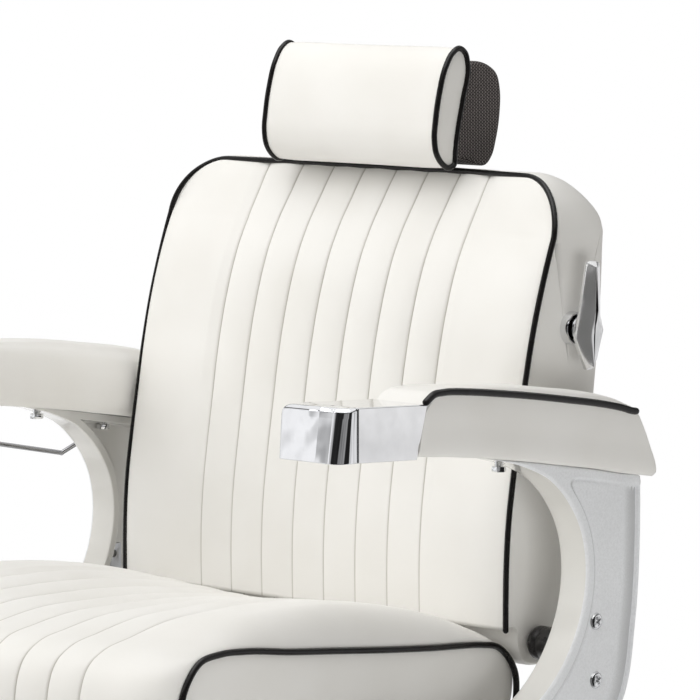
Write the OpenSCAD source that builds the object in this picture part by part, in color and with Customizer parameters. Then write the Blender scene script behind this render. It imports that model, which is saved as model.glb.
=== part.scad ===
// Reclining salon chair on a round hydraulic base
// Origin on the floor at the swivel axis, Z up, the sitter faces -Y, millimetres

/* [Seat] */
// Width of the seat between its two pipings
seat_w = 516; // [500:2:520]
// Depth of the seat cushion from its front crown to its rear face
seat_d = 487; // [470:1:490]
// Height of the seat crown above the floor at the lowest setting
seat_top_z = 535; // [530:1:560]
// Thickness of the seat cushion at its crown
seat_t = 130; // [120:1:132]
// How far the bolsters stand above the side piping
seat_bulge = 40; // [30:1:42]

/* [Backrest] */
// Width of the backrest between its two side pipings
back_w = 536; // [520:2:540]
// Height of the upholstered backrest panel
back_h = 437; // [420:1:460]
// Depth of the backrest from its lowest front edge to its rear face
back_d = 145; // [135:1:160]
// Radius of the two upper corners of the backrest
back_corner_r = 62; // [50:1:70]
// How far the padding stands ahead of the side piping
back_bulge = 11; // [6:1:12]

/* [Channels] */
// Distance between two sewn channel seams
channel_pitch = 44; // [40:1:46]
// Depth of a channel seam in the backrest and the seat
channel_depth = 5; // [3:0.5:6]

/* [Arms] */
// Width of an arm pad and of its chrome nose
arm_w = 77; // [70:1:80]
// Distance from the middle of the chair to the outer face of an arm pad
arm_out_x = 353; // [350:1:360]
// Height that the pad profile spans from its rear lower edge to its crown
pad_h = 107; // [100:1:112]
// Length of the chrome nose along its lower edge
nose_l = 103; // [96:1:110]
// Height of the chrome nose
nose_h = 51; // [46:1:54]

/* [Side frames] */
// Depth of a side casting from its front foot to its rear edge
frame_d = 395; // [385:1:400]
// Height of a side casting from its foot to the front tip of its upper arm
frame_h = 339; // [330:1:345]
// Thickness of a side casting
frame_t = 35; // [30:1:36]

/* [Headrest] */
// Width of the headrest pad
headrest_w = 236; // [200:2:240]
// Height of the headrest pad
headrest_h = 120; // [110:1:124]
// Thickness of the headrest pad
headrest_t = 38; // [30:1:40]
// Width of the rear cover of the headrest
cover_w = 220; // [180:2:224]
// Travel of the headrest mast
mast_travel = 120; // [80:5:125]
// Angle at which the mast leans back
mast_lean = 6; // [4:0.5:7]

/* [Pivots] */
// Diameter of the recline pivot pins
pivot_d = 20; // [16:1:22]
// Diameter of the round black hub caps on the pivots
hub_d = 33; // [30:1:36]
// Radial running clearance of every pin in its bore
run_gap = 0.05; // [0.02:0.01:0.08]

/* [Base] */
// Diameter of the round base plate
base_d = 600; // [560:10:700]
// Height of the dome of the base plate at its middle
base_h = 40; // [34:1:44]
// Diameter of the chrome column housing
column_d = 132; // [124:1:140]
// Height of the top of the column housing above the floor
column_top_z = 268; // [260:1:274]
// Diameter of the hydraulic ram
ram_d = 80; // [70:1:84]
// Lift of the hydraulic ram
lift_travel = 170; // [120:5:170]
// Length of the pump pedal from its pivot to its tip
pedal_l = 300; // [260:5:320]

/* [Legrest] */
// Width of the legrest pad
legrest_w = 400; // [360:5:420]
// Length of the legrest pad
legrest_l = 155; // [140:1:160]
// Angle at which the legrest leans forward at rest
legrest_lean = 15; // [10:1:20]
// Width of the footrest
footrest_w = 330; // [280:5:360]
// Length of the footrest from its pivot to its front edge
footrest_l = 165; // [140:5:180]

/* [Hidden] */

// Roundness of turned parts and of arcs in outlines
$fn = 64;
arc_steps = 12;
curve_steps = 5;
// Overrun of every cut, and the space left between pieces that don't touch
cut = 1;
gap = 0.3;
// Clearance round a shaft that only passes through a panel
pass_gap = 0.6;

// Seat
seat_y0 = -235;
seat_z0 = seat_top_z - seat_t;
seat_roll_w = 45;
seat_dish = 11;
seat_side_bulge = 3;
// Outline of the seat's side panel, from its front foot over the top to its rear foot:
// shares of the depth and the thickness, then how much of the bulge goes forward and up
seat_shares = [
    [0.092, 0, -0.6, 0], [0.066, 0.24, -0.8, 0], [0.068, 0.44, -0.84, 0.1],
    [0.084, 0.61, -0.8, 0.2], [0.119, 0.754, -0.65, 0.1], [0.172, 0.792, -0.45, 0.2],
    [0.238, 0.785, -0.25, 0.5], [0.359, 0.731, -0.1, 0.85], [0.466, 0.692, 0, 1],
    [0.659, 0.623, 0, 1], [0.764, 0.592, 0, 0.87], [0.834, 0.577, 0, 0.68],
    [0.893, 0.558, 0, 0.45], [0.938, 0.523, 0.05, 0.25], [0.967, 0.438, 0.05, 0.05],
    [0.988, 0.315, 0, 0], [0.992, 0.154, 0, 0], [0.984, 0, 0, 0]
];
board_t = 12;
board_w = 470;
board_y0 = -190;
board_y1 = 225;

// Seat frame under the board
rail_w = 30;
rail_h = 43;
frame_set_in = 3;
frame_out_x = arm_out_x - frame_set_in;
frame_in_x = frame_out_x - frame_t;
frame_stand = 65;
rail_gap_w = 2 * (frame_in_x - frame_stand - rail_w);
rail_y0 = -180;
rail_y1 = 235;
cross_w = 40;
hub_plate_w = 200;
hub_plate_d = 220;
hub_plate_t = 12;
seat_board_z0 = seat_z0 - gap - board_t;
rail_z0 = seat_board_z0 - rail_h;

// Backrest
back_y0 = 222;
back_z0 = 490;
back_roll_w = 34;
back_side_bulge = 2;
// How far the padding stands forward at the upper corners, and where that begins
back_corner_pull = 12;
back_pull_x = 110;
// Front outline of the padding from its lower edge to its top: shares of the depth and
// the height, then how much of the bulge stands forward there
back_front_shares = [
    [0, 0, 0.1], [0, 0.069, 0.25], [0.007, 0.158, 0.35], [0.028, 0.245, 0.4],
    [0.069, 0.334, 0.55], [0.124, 0.435, 0.75], [0.193, 0.558, 0.95], [0.276, 0.675, 1],
    [0.338, 0.744, 0.95], [0.4, 0.805, 0.7], [0.469, 0.865, 0.25], [0.552, 0.92, -0.2],
    [0.634, 0.961, -0.2], [0.71, 0.989, 0]
];
// Plane of the board behind the padding, from its top to its foot
back_board_shares = [[0.786, 0.993], [0.483, 0.558], [0.276, 0]];
// Rear outline of the shell, from its foot to its top
back_rear_shares = [
    [0.44, -0.086], [0.6, -0.04], [0.7, 0.04], [0.77, 0.17], [0.85, 0.34], [0.925, 0.52],
    [0.98, 0.69], [1, 0.82], [1, 0.895], [0.94, 0.948], [0.835, 0.98], [0.79, 0.993]
];
shell_w = back_w - 4 * pass_gap;
shell_wall = 9;
shell_side_wall = 10;
back_board_t = 8;
back_board_w = 480;
eye_t = 12;
eye_r = 19;
nose_r = 24;
back_rail_t = 8;
back_rail_w = 24;
back_bar_h = 30;
back_bar_shares = [0.2, 0.86];

// Pivot of the backrest, in the middle of the side castings' rear limb
pivot_y = 262;
pivot_z = 475;
pivot_r = pivot_d / 2;
bracket_t = 6;
bracket_w = 20;
bracket_h = 78;
screw_pitch = 57;
screw_r = 4;
screw_head_r = 8.5;
screw_head_h = 2.6;
screw_slot_w = 2;
screw_slot_l = 10;
screw_slot_h = 1.4;
hub_cap_x0 = 272;
hub_cap_x1 = 308.5;
hub_cap_edge = 3;

// Side castings
frame_rear = 65;
frame_y0 = pivot_y + frame_rear - frame_d;
frame_z0 = 334;
frame_rim = 8;
frame_pocket_t = 20;
frame_panel_t = 1.4;
frame_panel_rim = 13;
// Inner curve from the front tip of the upper arm round to the foot
frame_inner_shares = [
    [0.456, 0.9985], [0.592, 0.959], [0.673, 0.917], [0.744, 0.841], [0.787, 0.755],
    [0.803, 0.652], [0.79, 0.543], [0.749, 0.437], [0.658, 0.319], [0.527, 0.242],
    [0.349, 0.212], [0.071, 0.204]
];
// Round front end and the outer curve up to the rear of the pad
frame_outer_shares = [
    [0.015, 0.183], [0, 0.121], [0.02, 0.053], [0.096, 0.018], [0.324, 0], [0.552, 0.012],
    [0.729, 0.053], [0.856, 0.142], [0.942, 0.265], [0.985, 0.484], [1, 0.714]
];
frame_top_y_shares = [1, 0.947, 0.835, 0.539];
frame_bolt_r = 9;
frame_bolt_places = [[0.2, 0.09], [0.55, 0.12]];

// Arm pads: stations along the pad, as shares of its length and of its height, in the
// order place, underside, piping, crown, then the slant of the section there
pad_behind_frame = 17;
pad_front = 78;
pad_y0 = frame_y0 + pad_front;
pad_l = frame_d + pad_behind_frame - pad_front;
pad_z0 = 635;
pad_shares = [
    [0.001, 0.457, 0.83, 0.87, 0.275], [0.024, 0.448, 0.91, 0.945, 0.2],
    [0.054, 0.438, 0.972, 0.985, 0.1], [0.105, 0.424, 0.988, 0.998, 0],
    [0.21, 0.39, 0.967, 1, 0], [0.33, 0.343, 0.925, 0.99, 0],
    [0.464, 0.286, 0.872, 0.954, 0], [0.6, 0.22, 0.81, 0.898, 0],
    [0.754, 0.143, 0.735, 0.832, 0], [0.868, 0.076, 0.675, 0.77, -0.1],
    [0.946, 0.043, 0.64, 0.725, -0.3], [1, 0.02, 0.63, 0.7, -0.47]
];
// Section of the pad from its outer lower edge over the crown to its inner lower edge:
// share of the width, share of the height to the piping, share from there to the crown
pad_ring_shares = [
    [1, 0, 0], [1, 1, 0], [0.95, 1, 0.45], [0.83, 1, 0.85], [0.62, 1, 1], [0.38, 1, 0.85],
    [0.2, 1, 0.25], [0.08, 0.9, 0], [0.01, 0.66, 0], [0, 0.3, 0], [0.03, 0.08, 0],
    [0.08, 0, 0]
];
arm_plate_t = 5.6;
arm_plate_edge = 9;
arm_plate_y1_share = 0.93;
arm_plate_nose_l = 62;

// Chrome nose
nose_z0 = 684;
nose_rake = 8;
nose_rear_slant = 14;
nose_corner_r = 15;
nose_inner_r = 4;
nose_top_r = 10;
nose_wall = 2;
nose_cap_share = 0.2;
nose_cap_gap = 0.4;
arm_bolt_r = 4;
arm_bolt_x = frame_in_x + frame_pocket_t / 2;
arm_bolt_ease = 2.4;
nose_screw_x = frame_in_x + frame_t / 2;
nose_screw_y = pad_y0 - nose_l / 3;
arm_bolt_head_r = 7;
arm_bolt_head_h = 5;
arm_bolt_shares = [0.7, 0.42];
nose_screw_r = 3;
nose_screw_h = 2.5;

// Towel rail on the outside of the right casting
towel_r = 2.5;
towel_bend_r = 2.8;
towel_x = 375;
towel_front = [20, 649];
towel_rear = [230, 609];
towel_rise = 20;
towel_foot_r = 8;
towel_foot_t = 3;

// Piping
piping_r = 3.5;
piping_sides = 6;
piping_lift = 0.5;

// Lock lever of the headrest, on the left side of the backrest
lock_y = 314;
lock_z = back_z0 + 0.65675 * back_h;
lock_shaft_r = 6;
lock_shaft_in = 13.4;
lock_up = 65;
lock_down = 38;
lock_half_w = 20;
lock_tip_w = 17;
lock_foot_w = 7;
lock_lean_y = 5.5;
lock_x0 = 22;
lock_t = 5;
lock_ridge_t = 9;
escutcheon_r = 17;
escutcheon_t = 6;
escutcheon_lip = 12;
escutcheon_neck_r = 8;
escutcheon_stand = 3.8;

// Headrest
mast_w = 32;
mast_t = 10;
mast_y = 328;
mast_z = back_z0 + 0.56064 * back_h;
mast_foot = 12;
mast_eye_r = 9;
guide_wall = 4;
guide_gap = 0.15;
mast_hold = 46;
guide_l = mast_travel + mast_hold;
mast_reach = 10;
tilt_z = back_z0 + back_h + 38;
tilt_pin_r = 5;
tilt_y = mast_y + (tilt_z - mast_z) * tan(mast_lean);
ear_t = 5;
ear_r = 9;
headrest_y0 = 278;
headrest_z0 = back_z0 + back_h - 1;
// End outline of the pad, shares of the thickness and the height
headrest_shares = [
    [0.08, 0.125], [0, 0.25], [0.05, 0.41], [0.18, 0.617], [0.45, 0.858], [0.68, 0.958],
    [0.95, 1], [1.18, 0.96], [1.27, 0.88], [1.08, 0.56], [0.9, 0.33], [0.79, 0.142],
    [0.74, 0.02], [0.53, 0], [0.32, 0.033]
];
headrest_stations = [-1, -0.975, -0.7, -0.35, 0, 0.35, 0.7, 0.975, 1];
headrest_draws = [0.95, 1, 1, 1, 1, 1, 1, 1, 0.95];
headrest_plate_t = 3;
headrest_plate_w = 180;
headrest_plate_l = 84;
headrest_plate_lean = 12.2;
headrest_plate_y = 308;
headrest_plate_z = headrest_z0 + 16;
cover_y0 = 321;
cover_z0 = headrest_z0 + 1;
cover_d = 65;
cover_h = 104;
cover_shares = [
    [0, 0.087], [0.25, 0.048], [0.5, 0], [0.69, 0], [0.8, 0.067], [0.908, 0.231],
    [1, 0.519], [1, 0.712], [0.908, 0.885], [0.723, 0.962], [0.46, 1], [0.215, 0.99]
];
cover_slot_w = 60;
cover_slot_y0 = 314;
cover_slot_y1 = 366;
cover_slot_flare = 8;
cover_slot_top = 22;
spacer_r = 6;
spacer_x = 70;

// Base
base_r = base_d / 2;
gasket_t = 4;
gasket_inset = 6;
base_rim_h = 14;
base_rim_w = 30;
base_wall = 8;
trim_h = 8;
trim_t = 3;
column_r = column_d / 2;
column_wall = 4;
column_foot_r = 92;
column_foot_h = 24;
tube_wall = 11;
tube_z0 = 12;
tube_floor = 8;
tube_top_z = 254;
gland_h = 8;
gland_r = 58;
ram_r = ram_d / 2;
ram_flange_r = 56;
ram_flange_t = 12;
ram_flange_z0 = column_top_z + ram_flange_t;
ram_hold = 63.7;
ram_z0 = tube_top_z - ram_hold - lift_travel;
spigot_r = 25;
spigot_l = 38;
bearing_r = 50;
bearing_t = 6;
hub_r = 62;
hub_flange_r = 84;
hub_flange_t = 10;

// Pump pedal
pedal_pivot_x = 92;
pedal_pivot_z = 84;
pedal_pin_r = 6;
pedal_arm_w = 22;
pedal_arm_h = 16;
pedal_eye_r = 14;
pedal_rise = 24;
pedal_pad_l = 60;
pedal_pad_w = 64;
pedal_pad_t = 14;
pedal_pad_r = 12;
lug_t = 8;
lug_r = 16;
lug_gap = 0.5;

// Recline lever under the left side of the seat
lever_y = -20;
lever_z = 372;
lever_x0 = 272;
lever_plate_t = 6;
lever_shaft_r = 7;
lever_l = 120;
lever_h = 18;
lever_rise = 8;
lever_grip_l = 70;
lever_grip_r = 10;
lever_boss_r = 14;

// Legrest and footrest
legrest_y = -198;
legrest_z = 345;
legrest_pin_r = 7;
legrest_eye_r = 14;
legrest_eye_t = 22;
legrest_tube_x = footrest_w / 2 - lug_t - gap - legrest_eye_t / 2;
legrest_tube_r = 10;
legrest_tube_v = -14;
legrest_tube_l = 215;
legrest_pad_u = 40;
legrest_pad_v = 8;
legrest_pad_t = 44;
legrest_bulge = 7;
legrest_roll_w = 34;
legrest_board_edge = 12;
legrest_ear_t = 8;
// Outline of the legrest pad, shares of its length and thickness, and of its bulge
legrest_shares = [
    [0.03, 0, 0], [0, 0.3, 0], [0, 0.62, 0.3], [0.05, 0.86, 0.6], [0.16, 0.96, 0.9],
    [0.35, 1, 1], [0.6, 1, 1], [0.84, 0.96, 0.9], [0.95, 0.86, 0.6], [1, 0.62, 0.3],
    [1, 0.3, 0], [0.97, 0, 0]
];
footrest_v = 75;
footrest_pin_r = 6;
footrest_eye_r = 13;
footrest_t = 16;
footrest_bar_w = 22;
footrest_tread_t = 5;
footrest_tread_edge = 8;
footrest_y = legrest_y - legrest_tube_l * sin(legrest_lean) - footrest_v * cos(legrest_lean);
footrest_z = legrest_z - legrest_tube_l * cos(legrest_lean) + footrest_v * sin(legrest_lean);

white = [0.93, 0.92, 0.9];
paint = [0.86, 0.86, 0.85];
black = [0.06, 0.06, 0.06];
chrome = [0.78, 0.8, 0.82];
steel = [0.55, 0.56, 0.58];
dark = [0.16, 0.12, 0.11];
ply = [0.72, 0.56, 0.36];
rubber = [0.1, 0.1, 0.1];

// Curves and outlines

// Point on a smooth curve between p1 and p2
function blend(p0, p1, p2, p3, t) =
    0.5 * (2 * p1 + (p2 - p0) * t + (2 * p0 - 5 * p1 + 4 * p2 - p3) * t * t
    + (3 * p1 - p0 - 3 * p2 + p3) * t * t * t);

// Smooth open curve through a list of points
function curve(p, n = curve_steps) = let(last = len(p) - 1)
    concat([
        for (i = [0:last - 1], k = [0:n - 1])
        blend(p[max(i - 1, 0)], p[i], p[i + 1], p[min(i + 2, last)], k / n)
    ], [p[last]]);

// Shares turned into places
function place(s, origin, size) = [for (p = s) [origin[0] + p[0] * size[0], origin[1] + p[1] * size[1]]];

function rev(p) = [for (i = [len(p) - 1:-1:0]) p[i]];

function unit(v) = v / norm(v);

// Closed outline moved inwards by a distance, for an outline that runs anticlockwise
function inset(p, d) = let(n = len(p)) [
    for (i = [0:n - 1])
    let(a = p[(i + n - 1) % n], b = p[(i + 1) % n], t = unit(b - a)) p[i] + d * [-t[1], t[0]]
];

// Triangles between rings of n points each
function ring_walls(rings, n, wrap = false) = [
    for (r = [0:(wrap ? rings - 1 : rings - 2)], i = [0:n - 1], half = [0, 1])
    let(a = r * n + i, b = r * n + (i + 1) % n)
    let(c = ((r + 1) % rings) * n + i, d = ((r + 1) % rings) * n + (i + 1) % n)
    half == 0 ? [a, c, b] : [b, c, d]
];

// Closed solid from rings, with a middle point at each end
module ring_solid(rings, end_a, end_b) {
    n = len(rings[0]);
    m = len(rings);
    points = concat([for (r = rings, p = r) p], [end_a, end_b]);
    cap_a = [for (i = [0:n - 1]) [m * n, i, (i + 1) % n]];
    cap_b = [for (i = [0:n - 1]) [m * n + 1, (m - 1) * n + (i + 1) % n, (m - 1) * n + i]];
    polyhedron(points = points, faces = concat(ring_walls(m, n), cap_a, cap_b), convexity = 6);
}

// Middle of a ring of points
function middle(r) = [for (k = [0:2]) [for (p = r) p[k]] * [for (p = r) 1] / len(r)];

// Ring of a tube round point i of a path, kept square to the direction ref
function tube_ring(path, i, r, ref, closed) =
    let(n = len(path))
    let(a = closed ? path[(i + n - 1) % n] : path[max(i - 1, 0)])
    let(b = closed ? path[(i + 1) % n] : path[min(i + 1, n - 1)])
    let(t = unit(b - a), side = unit(cross(t, ref)), up = cross(side, t))
    [for (k = [0:piping_sides - 1]) let(w = 360 * (k + 0.5) / piping_sides)
        path[i] + r * (cos(w) * side - sin(w) * up)];

// Round tube along a path
module tube(path, r, ref, closed = false) {
    rings = [for (i = [0:len(path) - 1]) tube_ring(path, i, r, ref, closed)];
    n = piping_sides;
    m = len(rings);
    if (closed) polyhedron(
        points = [for (g = rings, p = g) p], faces = ring_walls(m, n, true), convexity = 6);
    else ring_solid(rings, path[0], path[m - 1]);
}

// Outline in Y and Z drawn along X, from x0 to x1
module along_x(x0, x1) {
    translate([x0, 0, 0]) rotate([90, 0, 90]) linear_extrude(height = x1 - x0) children();
}

// Cylinder along X
module rod_x(x0, x1, r) {
    translate([x0, 0, 0]) rotate([0, 90, 0]) cylinder(r = r, h = x1 - x0);
}

module at_yz(y, z) {
    translate([0, y, z]) children();
}

module both_sides() {
    children();
    mirror([1, 0, 0]) children();
}

// Upholstery

// Relief of the sewn channels at a distance from the middle: seams lie half a pitch out
channel_edge = 3.5 * channel_pitch;
function channel_relief(x) = abs(x) > channel_edge + channel_pitch / 4 ? 0
    : channel_depth * (pow(abs(cos(180 * x / channel_pitch)), 0.6) - 1);
// Roll of a cushion towards its side piping, from 1 inside to 0 at the piping
function roll(x, half, w) = abs(x) <= half - w ? 1
    : sqrt(max(0, 1 - pow((abs(x) - half + w) / w, 2)));
function channel_stations(half, w) = let(edge = channel_edge)
    let(side = [
        edge + channel_pitch / 4, (edge + half - w) / 2 + channel_pitch / 8, half - w,
        half - 0.6 * w, half - 0.32 * w, half - 0.12 * w, half - 0.02 * w, half
    ])
    concat(
        [for (i = [len(side) - 1:-1:0]) -side[i]],
        [for (k = [-14:14]) k * channel_pitch / 4],
        side
    );

seat_half = seat_w / 2;
function seat_point(s, x) =
    let(b = seat_bulge * roll(x, seat_half, seat_roll_w) + channel_relief(x))
    let(dish = seat_dish * pow(max(0, cos(90 * x / (channel_edge + channel_pitch))), 2))
    let(draw = 1 - 0.03 * pow(1 - s[1], 2) * pow(abs(x) / seat_half, 2))
    [x * draw, seat_y0 + s[0] * seat_d + s[2] * b, seat_z0 + s[1] * seat_t + s[3] * (b - dish)];
function seat_ring(x) = [for (s = rev(seat_shares)) seat_point(s, x)];

module seat_cushion() color(white) {
    rings = [for (x = channel_stations(seat_half, seat_roll_w)) seat_ring(x)];
    m = len(rings) - 1;
    ring_solid(
        rings, middle(rings[0]) - [seat_side_bulge, 0, 0], middle(rings[m]) + [seat_side_bulge, 0, 0]);
}

module seat_piping() color(black) both_sides() {
    outline = [for (s = seat_shares) seat_point(s, seat_half) + [piping_lift, 0, 0]];
    tube(curve(outline, 2), piping_r, [1, 0, 0]);
}

back_half = back_w / 2;
back_corner_z = back_z0 + back_h - back_corner_r;
// Front face and board plane as tables of depth against height
back_front_table = [for (s = back_front_shares) [back_z0 + s[1] * back_h, back_y0 + s[0] * back_d]];
back_board_table = [for (s = rev(back_board_shares)) [back_z0 + s[1] * back_h, back_y0 + s[0] * back_d]];
// How far the upper edge has come down at a distance from the middle
function corner_share(x) = abs(x) <= back_half - back_corner_r ? 1
    : max(0.08, sqrt(max(0, 1 - pow((abs(x) - back_half + back_corner_r) / back_corner_r, 2))));
function lowered(y, z, x, table) = let(c = corner_share(x), y0 = lookup(back_corner_z, table))
    z <= back_corner_z ? [y, z] : [y0 + (y - y0) * c, back_corner_z + (z - back_corner_z) * c];
// How far a point near an upper corner stands forward
function ease(t) = let(u = max(0, min(1, t))) u * u * (3 - 2 * u);
function pull(x, z) = z <= back_corner_z ? 0 : back_corner_pull * (z - back_corner_z) / back_corner_r
    * ease((abs(x) - back_pull_x) / (back_half - back_corner_r - back_pull_x));
function back_ring(x) =
    let(b = back_bulge * roll(x, back_half, back_roll_w) + channel_relief(x))
    concat(
        [for (s = back_front_shares)
            let(p = lowered(back_y0 + s[0] * back_d, back_z0 + s[1] * back_h, x, back_front_table))
            [x, p[0] - s[2] * b * corner_share(x) - pull(x, p[1]), p[1]]],
        [for (s = back_board_shares)
            let(p = lowered(back_y0 + s[0] * back_d, back_z0 + s[1] * back_h, x, back_board_table))
            [x, p[0] - gap, p[1]]]
    );

module back_cushion() color(white) {
    rings = [for (x = channel_stations(back_half, back_roll_w)) rev(back_ring(x))];
    m = len(rings) - 1;
    ring_solid(
        rings, middle(rings[0]) - [back_side_bulge, 0, 0], middle(rings[m]) + [back_side_bulge, 0, 0]);
}

module back_piping() color(black) {
    side = [for (s = back_front_shares) if (s[1] * back_h < back_h - back_corner_r)
        [back_half, back_y0 + s[0] * back_d, back_z0 + s[1] * back_h]];
    corner = [for (k = [0:6]) let(
        a = 15 * k, z = back_corner_z + back_corner_r * sin(a), x = back_half - back_corner_r * (1 - cos(a)))
        [x, lookup(z, back_front_table) - pull(x, z), z]];
    z_top = back_corner_z + back_corner_r;
    top = [for (s = [0.8, 0.6, 0.4]) let(x = s * (back_half - back_corner_r))
        [x, lookup(z_top, back_front_table) - pull(x, z_top), z_top]];
    half_path = concat(side, corner, top);
    other = [for (p = rev(half_path)) [-p[0], p[1], p[2]]];
    tube(concat(half_path, other), piping_r, [0, 1, 0.2]);
}

// Section of the shell behind the board plane
function shell_front() = place(back_board_shares, [back_y0, back_z0], [back_d, back_h]);
function shell_rear() = curve(place(back_rear_shares, [back_y0, back_z0], [back_d, back_h]), 3);
module shell_section() {
    polygon(concat(
        shell_front(), [[pivot_y, back_z0 - gap], [pivot_y - nose_r, back_z0 - gap],
        [pivot_y - nose_r, pivot_z], [pivot_y, pivot_z]], shell_rear()));
}

// Space in front of the board plane that belongs to the padding
module padding_space() {
    front = shell_front();
    y = back_y0 - nose_r;
    along_x(-back_w, back_w) polygon([
        [y, back_z0 - gap], [front[2][0], back_z0 - gap], [front[2][0], front[2][1]],
        [front[1][0], front[1][1]], [front[0][0], front[0][1]], [y, front[0][1]]
    ]);
}

// Outline of the backrest from the front, less a margin, with round upper corners
module front_outline(margin) {
    half = shell_w / 2 - margin;
    top = back_z0 + back_h - margin;
    r = back_corner_r - margin;
    polygon(concat(
        [[-half, pivot_z - 2 * nose_r], [half, pivot_z - 2 * nose_r]],
        [for (k = [0:arc_steps]) let(a = 90 * k / arc_steps) [half - r + r * cos(a), top - r + r * sin(a)]],
        [for (k = [0:arc_steps]) let(a = 90 + 90 * k / arc_steps)
            [-half + r + r * cos(a), top - r + r * sin(a)]]
    ));
}

// Rear outline of the shell's hollow
module hollow_section() {
    rear = inset(shell_rear(), shell_wall);
    front = shell_front();
    polygon(concat(
        [[lookup(front[0][1] - shell_wall, back_board_table) - cut, front[0][1] - shell_wall],
        [front[1][0] - cut, front[1][1]],
        [front[2][0] - cut, front[2][1] + shell_wall], [pivot_y, back_z0]],
        [for (i = [3:len(rear) - 4]) rear[i]]
    ));
}

module back_shell() color(white) {
    inner = shell_w / 2 - shell_side_wall;
    difference() {
        intersection() {
            union() {
                along_x(-shell_w / 2, shell_w / 2) shell_section();
                at_yz(pivot_y, pivot_z) rod_x(-shell_w / 2, shell_w / 2, nose_r);
            }
            rotate([90, 0, 0]) translate([0, 0, -back_y0 - 2 * back_d])
                linear_extrude(height = 2 * back_d) front_outline(0);
        }
        along_x(-inner, inner) hollow_section();
        padding_space();
        at_yz(pivot_y, pivot_z) {
            rod_x(-inner, inner, eye_r + cut);
            rod_x(-shell_w, shell_w, pivot_r + pass_gap);
        }
        at_yz(lock_y, lock_z) rod_x(inner - cut, shell_w, lock_shaft_r + pass_gap);
        mast_place() translate([0, 0, mast_reach]) guide_block(guide_wall + gap, back_h);
    }
}

module back_board() color(ply) {
    half = back_board_w / 2;
    front = shell_front();
    top_z = front[0][1] - 2 * shell_wall;
    top_y = lookup(top_z, back_board_table);
    foot_z = front[2][1] + shell_wall;
    foot_y = lookup(foot_z, back_board_table);
    difference() {
        along_x(-half, half) polygon([
            [top_y, top_z], [front[1][0], front[1][1]], [foot_y, foot_z],
            [foot_y + back_board_t, foot_z], [front[1][0] + back_board_t, front[1][1]],
            [top_y + back_board_t, top_z]
        ]);
        mast_place() translate([0, 0, mast_reach]) guide_block(guide_wall + gap, back_h);
    }
}

// Frame inside the shell: an eye and a bent rail on each side, joined by two bars
module back_rail() {
    front = shell_front();
    y = back_board_t + gap;
    top_z = front[0][1] - back_rail_w;
    top_y = lookup(top_z, back_board_table) + y;
    foot_z = front[2][1] + shell_wall;
    polygon([
        [top_y, top_z], [front[1][0] + y, front[1][1]],
        [lookup(foot_z, back_board_table) + y, foot_z], [pivot_y - eye_r / 2, pivot_z + eye_r / 2],
        [pivot_y + eye_r * 0.6, pivot_z], [front[2][0] + y + back_rail_w, front[2][1] + back_rail_w],
        [front[1][0] + y + back_rail_w, front[1][1]], [top_y + back_rail_w * 0.4, top_z]
    ]);
}

module back_frame() color(steel) {
    inner = shell_w / 2 - shell_side_wall;
    x1 = inner - gap;
    x0 = x1 - eye_t;
    front = shell_front();
    difference() {
        union() {
            both_sides() {
                at_yz(pivot_y, pivot_z) rod_x(x0, x1, eye_r);
                along_x(x0, x0 + back_rail_t) back_rail();
            }
            for (s = back_bar_shares) {
                z = back_z0 + s * back_h;
                y = lookup(z + back_bar_h, back_board_table) + back_board_t + gap;
                translate([-x0 - cut, y, z]) cube([2 * x0 + 2 * cut, back_rail_t, back_bar_h]);
            }
        }
        padding_space();
        at_yz(pivot_y, pivot_z) rod_x(-shell_w, shell_w, pivot_r + run_gap);
        mast_place() translate([0, 0, mast_reach]) guide_block(guide_wall, back_h);
    }
}

// Headrest guide, mast and tilting headrest

mast_l = (tilt_z - mast_z) / cos(mast_lean);
module mast_place() {
    translate([0, mast_y, mast_z]) rotate([-mast_lean, 0, 0]) children();
}

// Block round the mast, grown by a margin
module guide_block(margin, h) {
    w = mast_w + 2 * (guide_gap + margin);
    d = mast_t + 2 * (guide_gap + margin);
    translate([-w / 2, -d / 2, 0]) cube([w, d, h]);
}

module headrest_guide() color(steel) mast_place() {
    difference() {
        translate([0, 0, mast_reach]) guide_block(guide_wall, guide_l);
        guide_block(0, 2 * guide_l);
    }
}

module headrest_mast() color(chrome) mast_place() {
    difference() {
        union() {
            translate([-mast_w / 2, -mast_t / 2, mast_foot]) cube([mast_w, mast_t, mast_l - mast_foot]);
            translate([0, 0, mast_l]) rod_x(-mast_w / 2, mast_w / 2, mast_eye_r);
        }
        translate([0, 0, mast_l]) rod_x(-mast_w, mast_w, tilt_pin_r + run_gap);
    }
}

module headrest_pin() color(steel) {
    at_yz(tilt_y, tilt_z) rod_x(-mast_w / 2 - ear_t - gap, mast_w / 2 + ear_t + gap, tilt_pin_r);
}

module plate_place() {
    translate([0, headrest_plate_y, headrest_plate_z]) rotate([-headrest_plate_lean, 0, 0]) children();
}

module headrest_plate() color(steel) {
    x0 = mast_w / 2 + gap;
    difference() {
        union() {
            plate_place() translate([-headrest_plate_w / 2, 0, 0])
                cube([headrest_plate_w, headrest_plate_t, headrest_plate_l]);
            both_sides() {
                at_yz(tilt_y, tilt_z) rod_x(x0, x0 + ear_t, ear_r);
                along_x(x0, x0 + ear_t) polygon([
                    [tilt_y, tilt_z - ear_r], [tilt_y, tilt_z + ear_r],
                    [headrest_plate_y + headrest_plate_t + ear_r * 0.8, tilt_z + ear_r],
                    [headrest_plate_y + headrest_plate_t * 1.4, tilt_z - ear_r]
                ]);
            }
        }
        at_yz(tilt_y, tilt_z) rod_x(-mast_w, mast_w, tilt_pin_r);
    }
}

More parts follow.
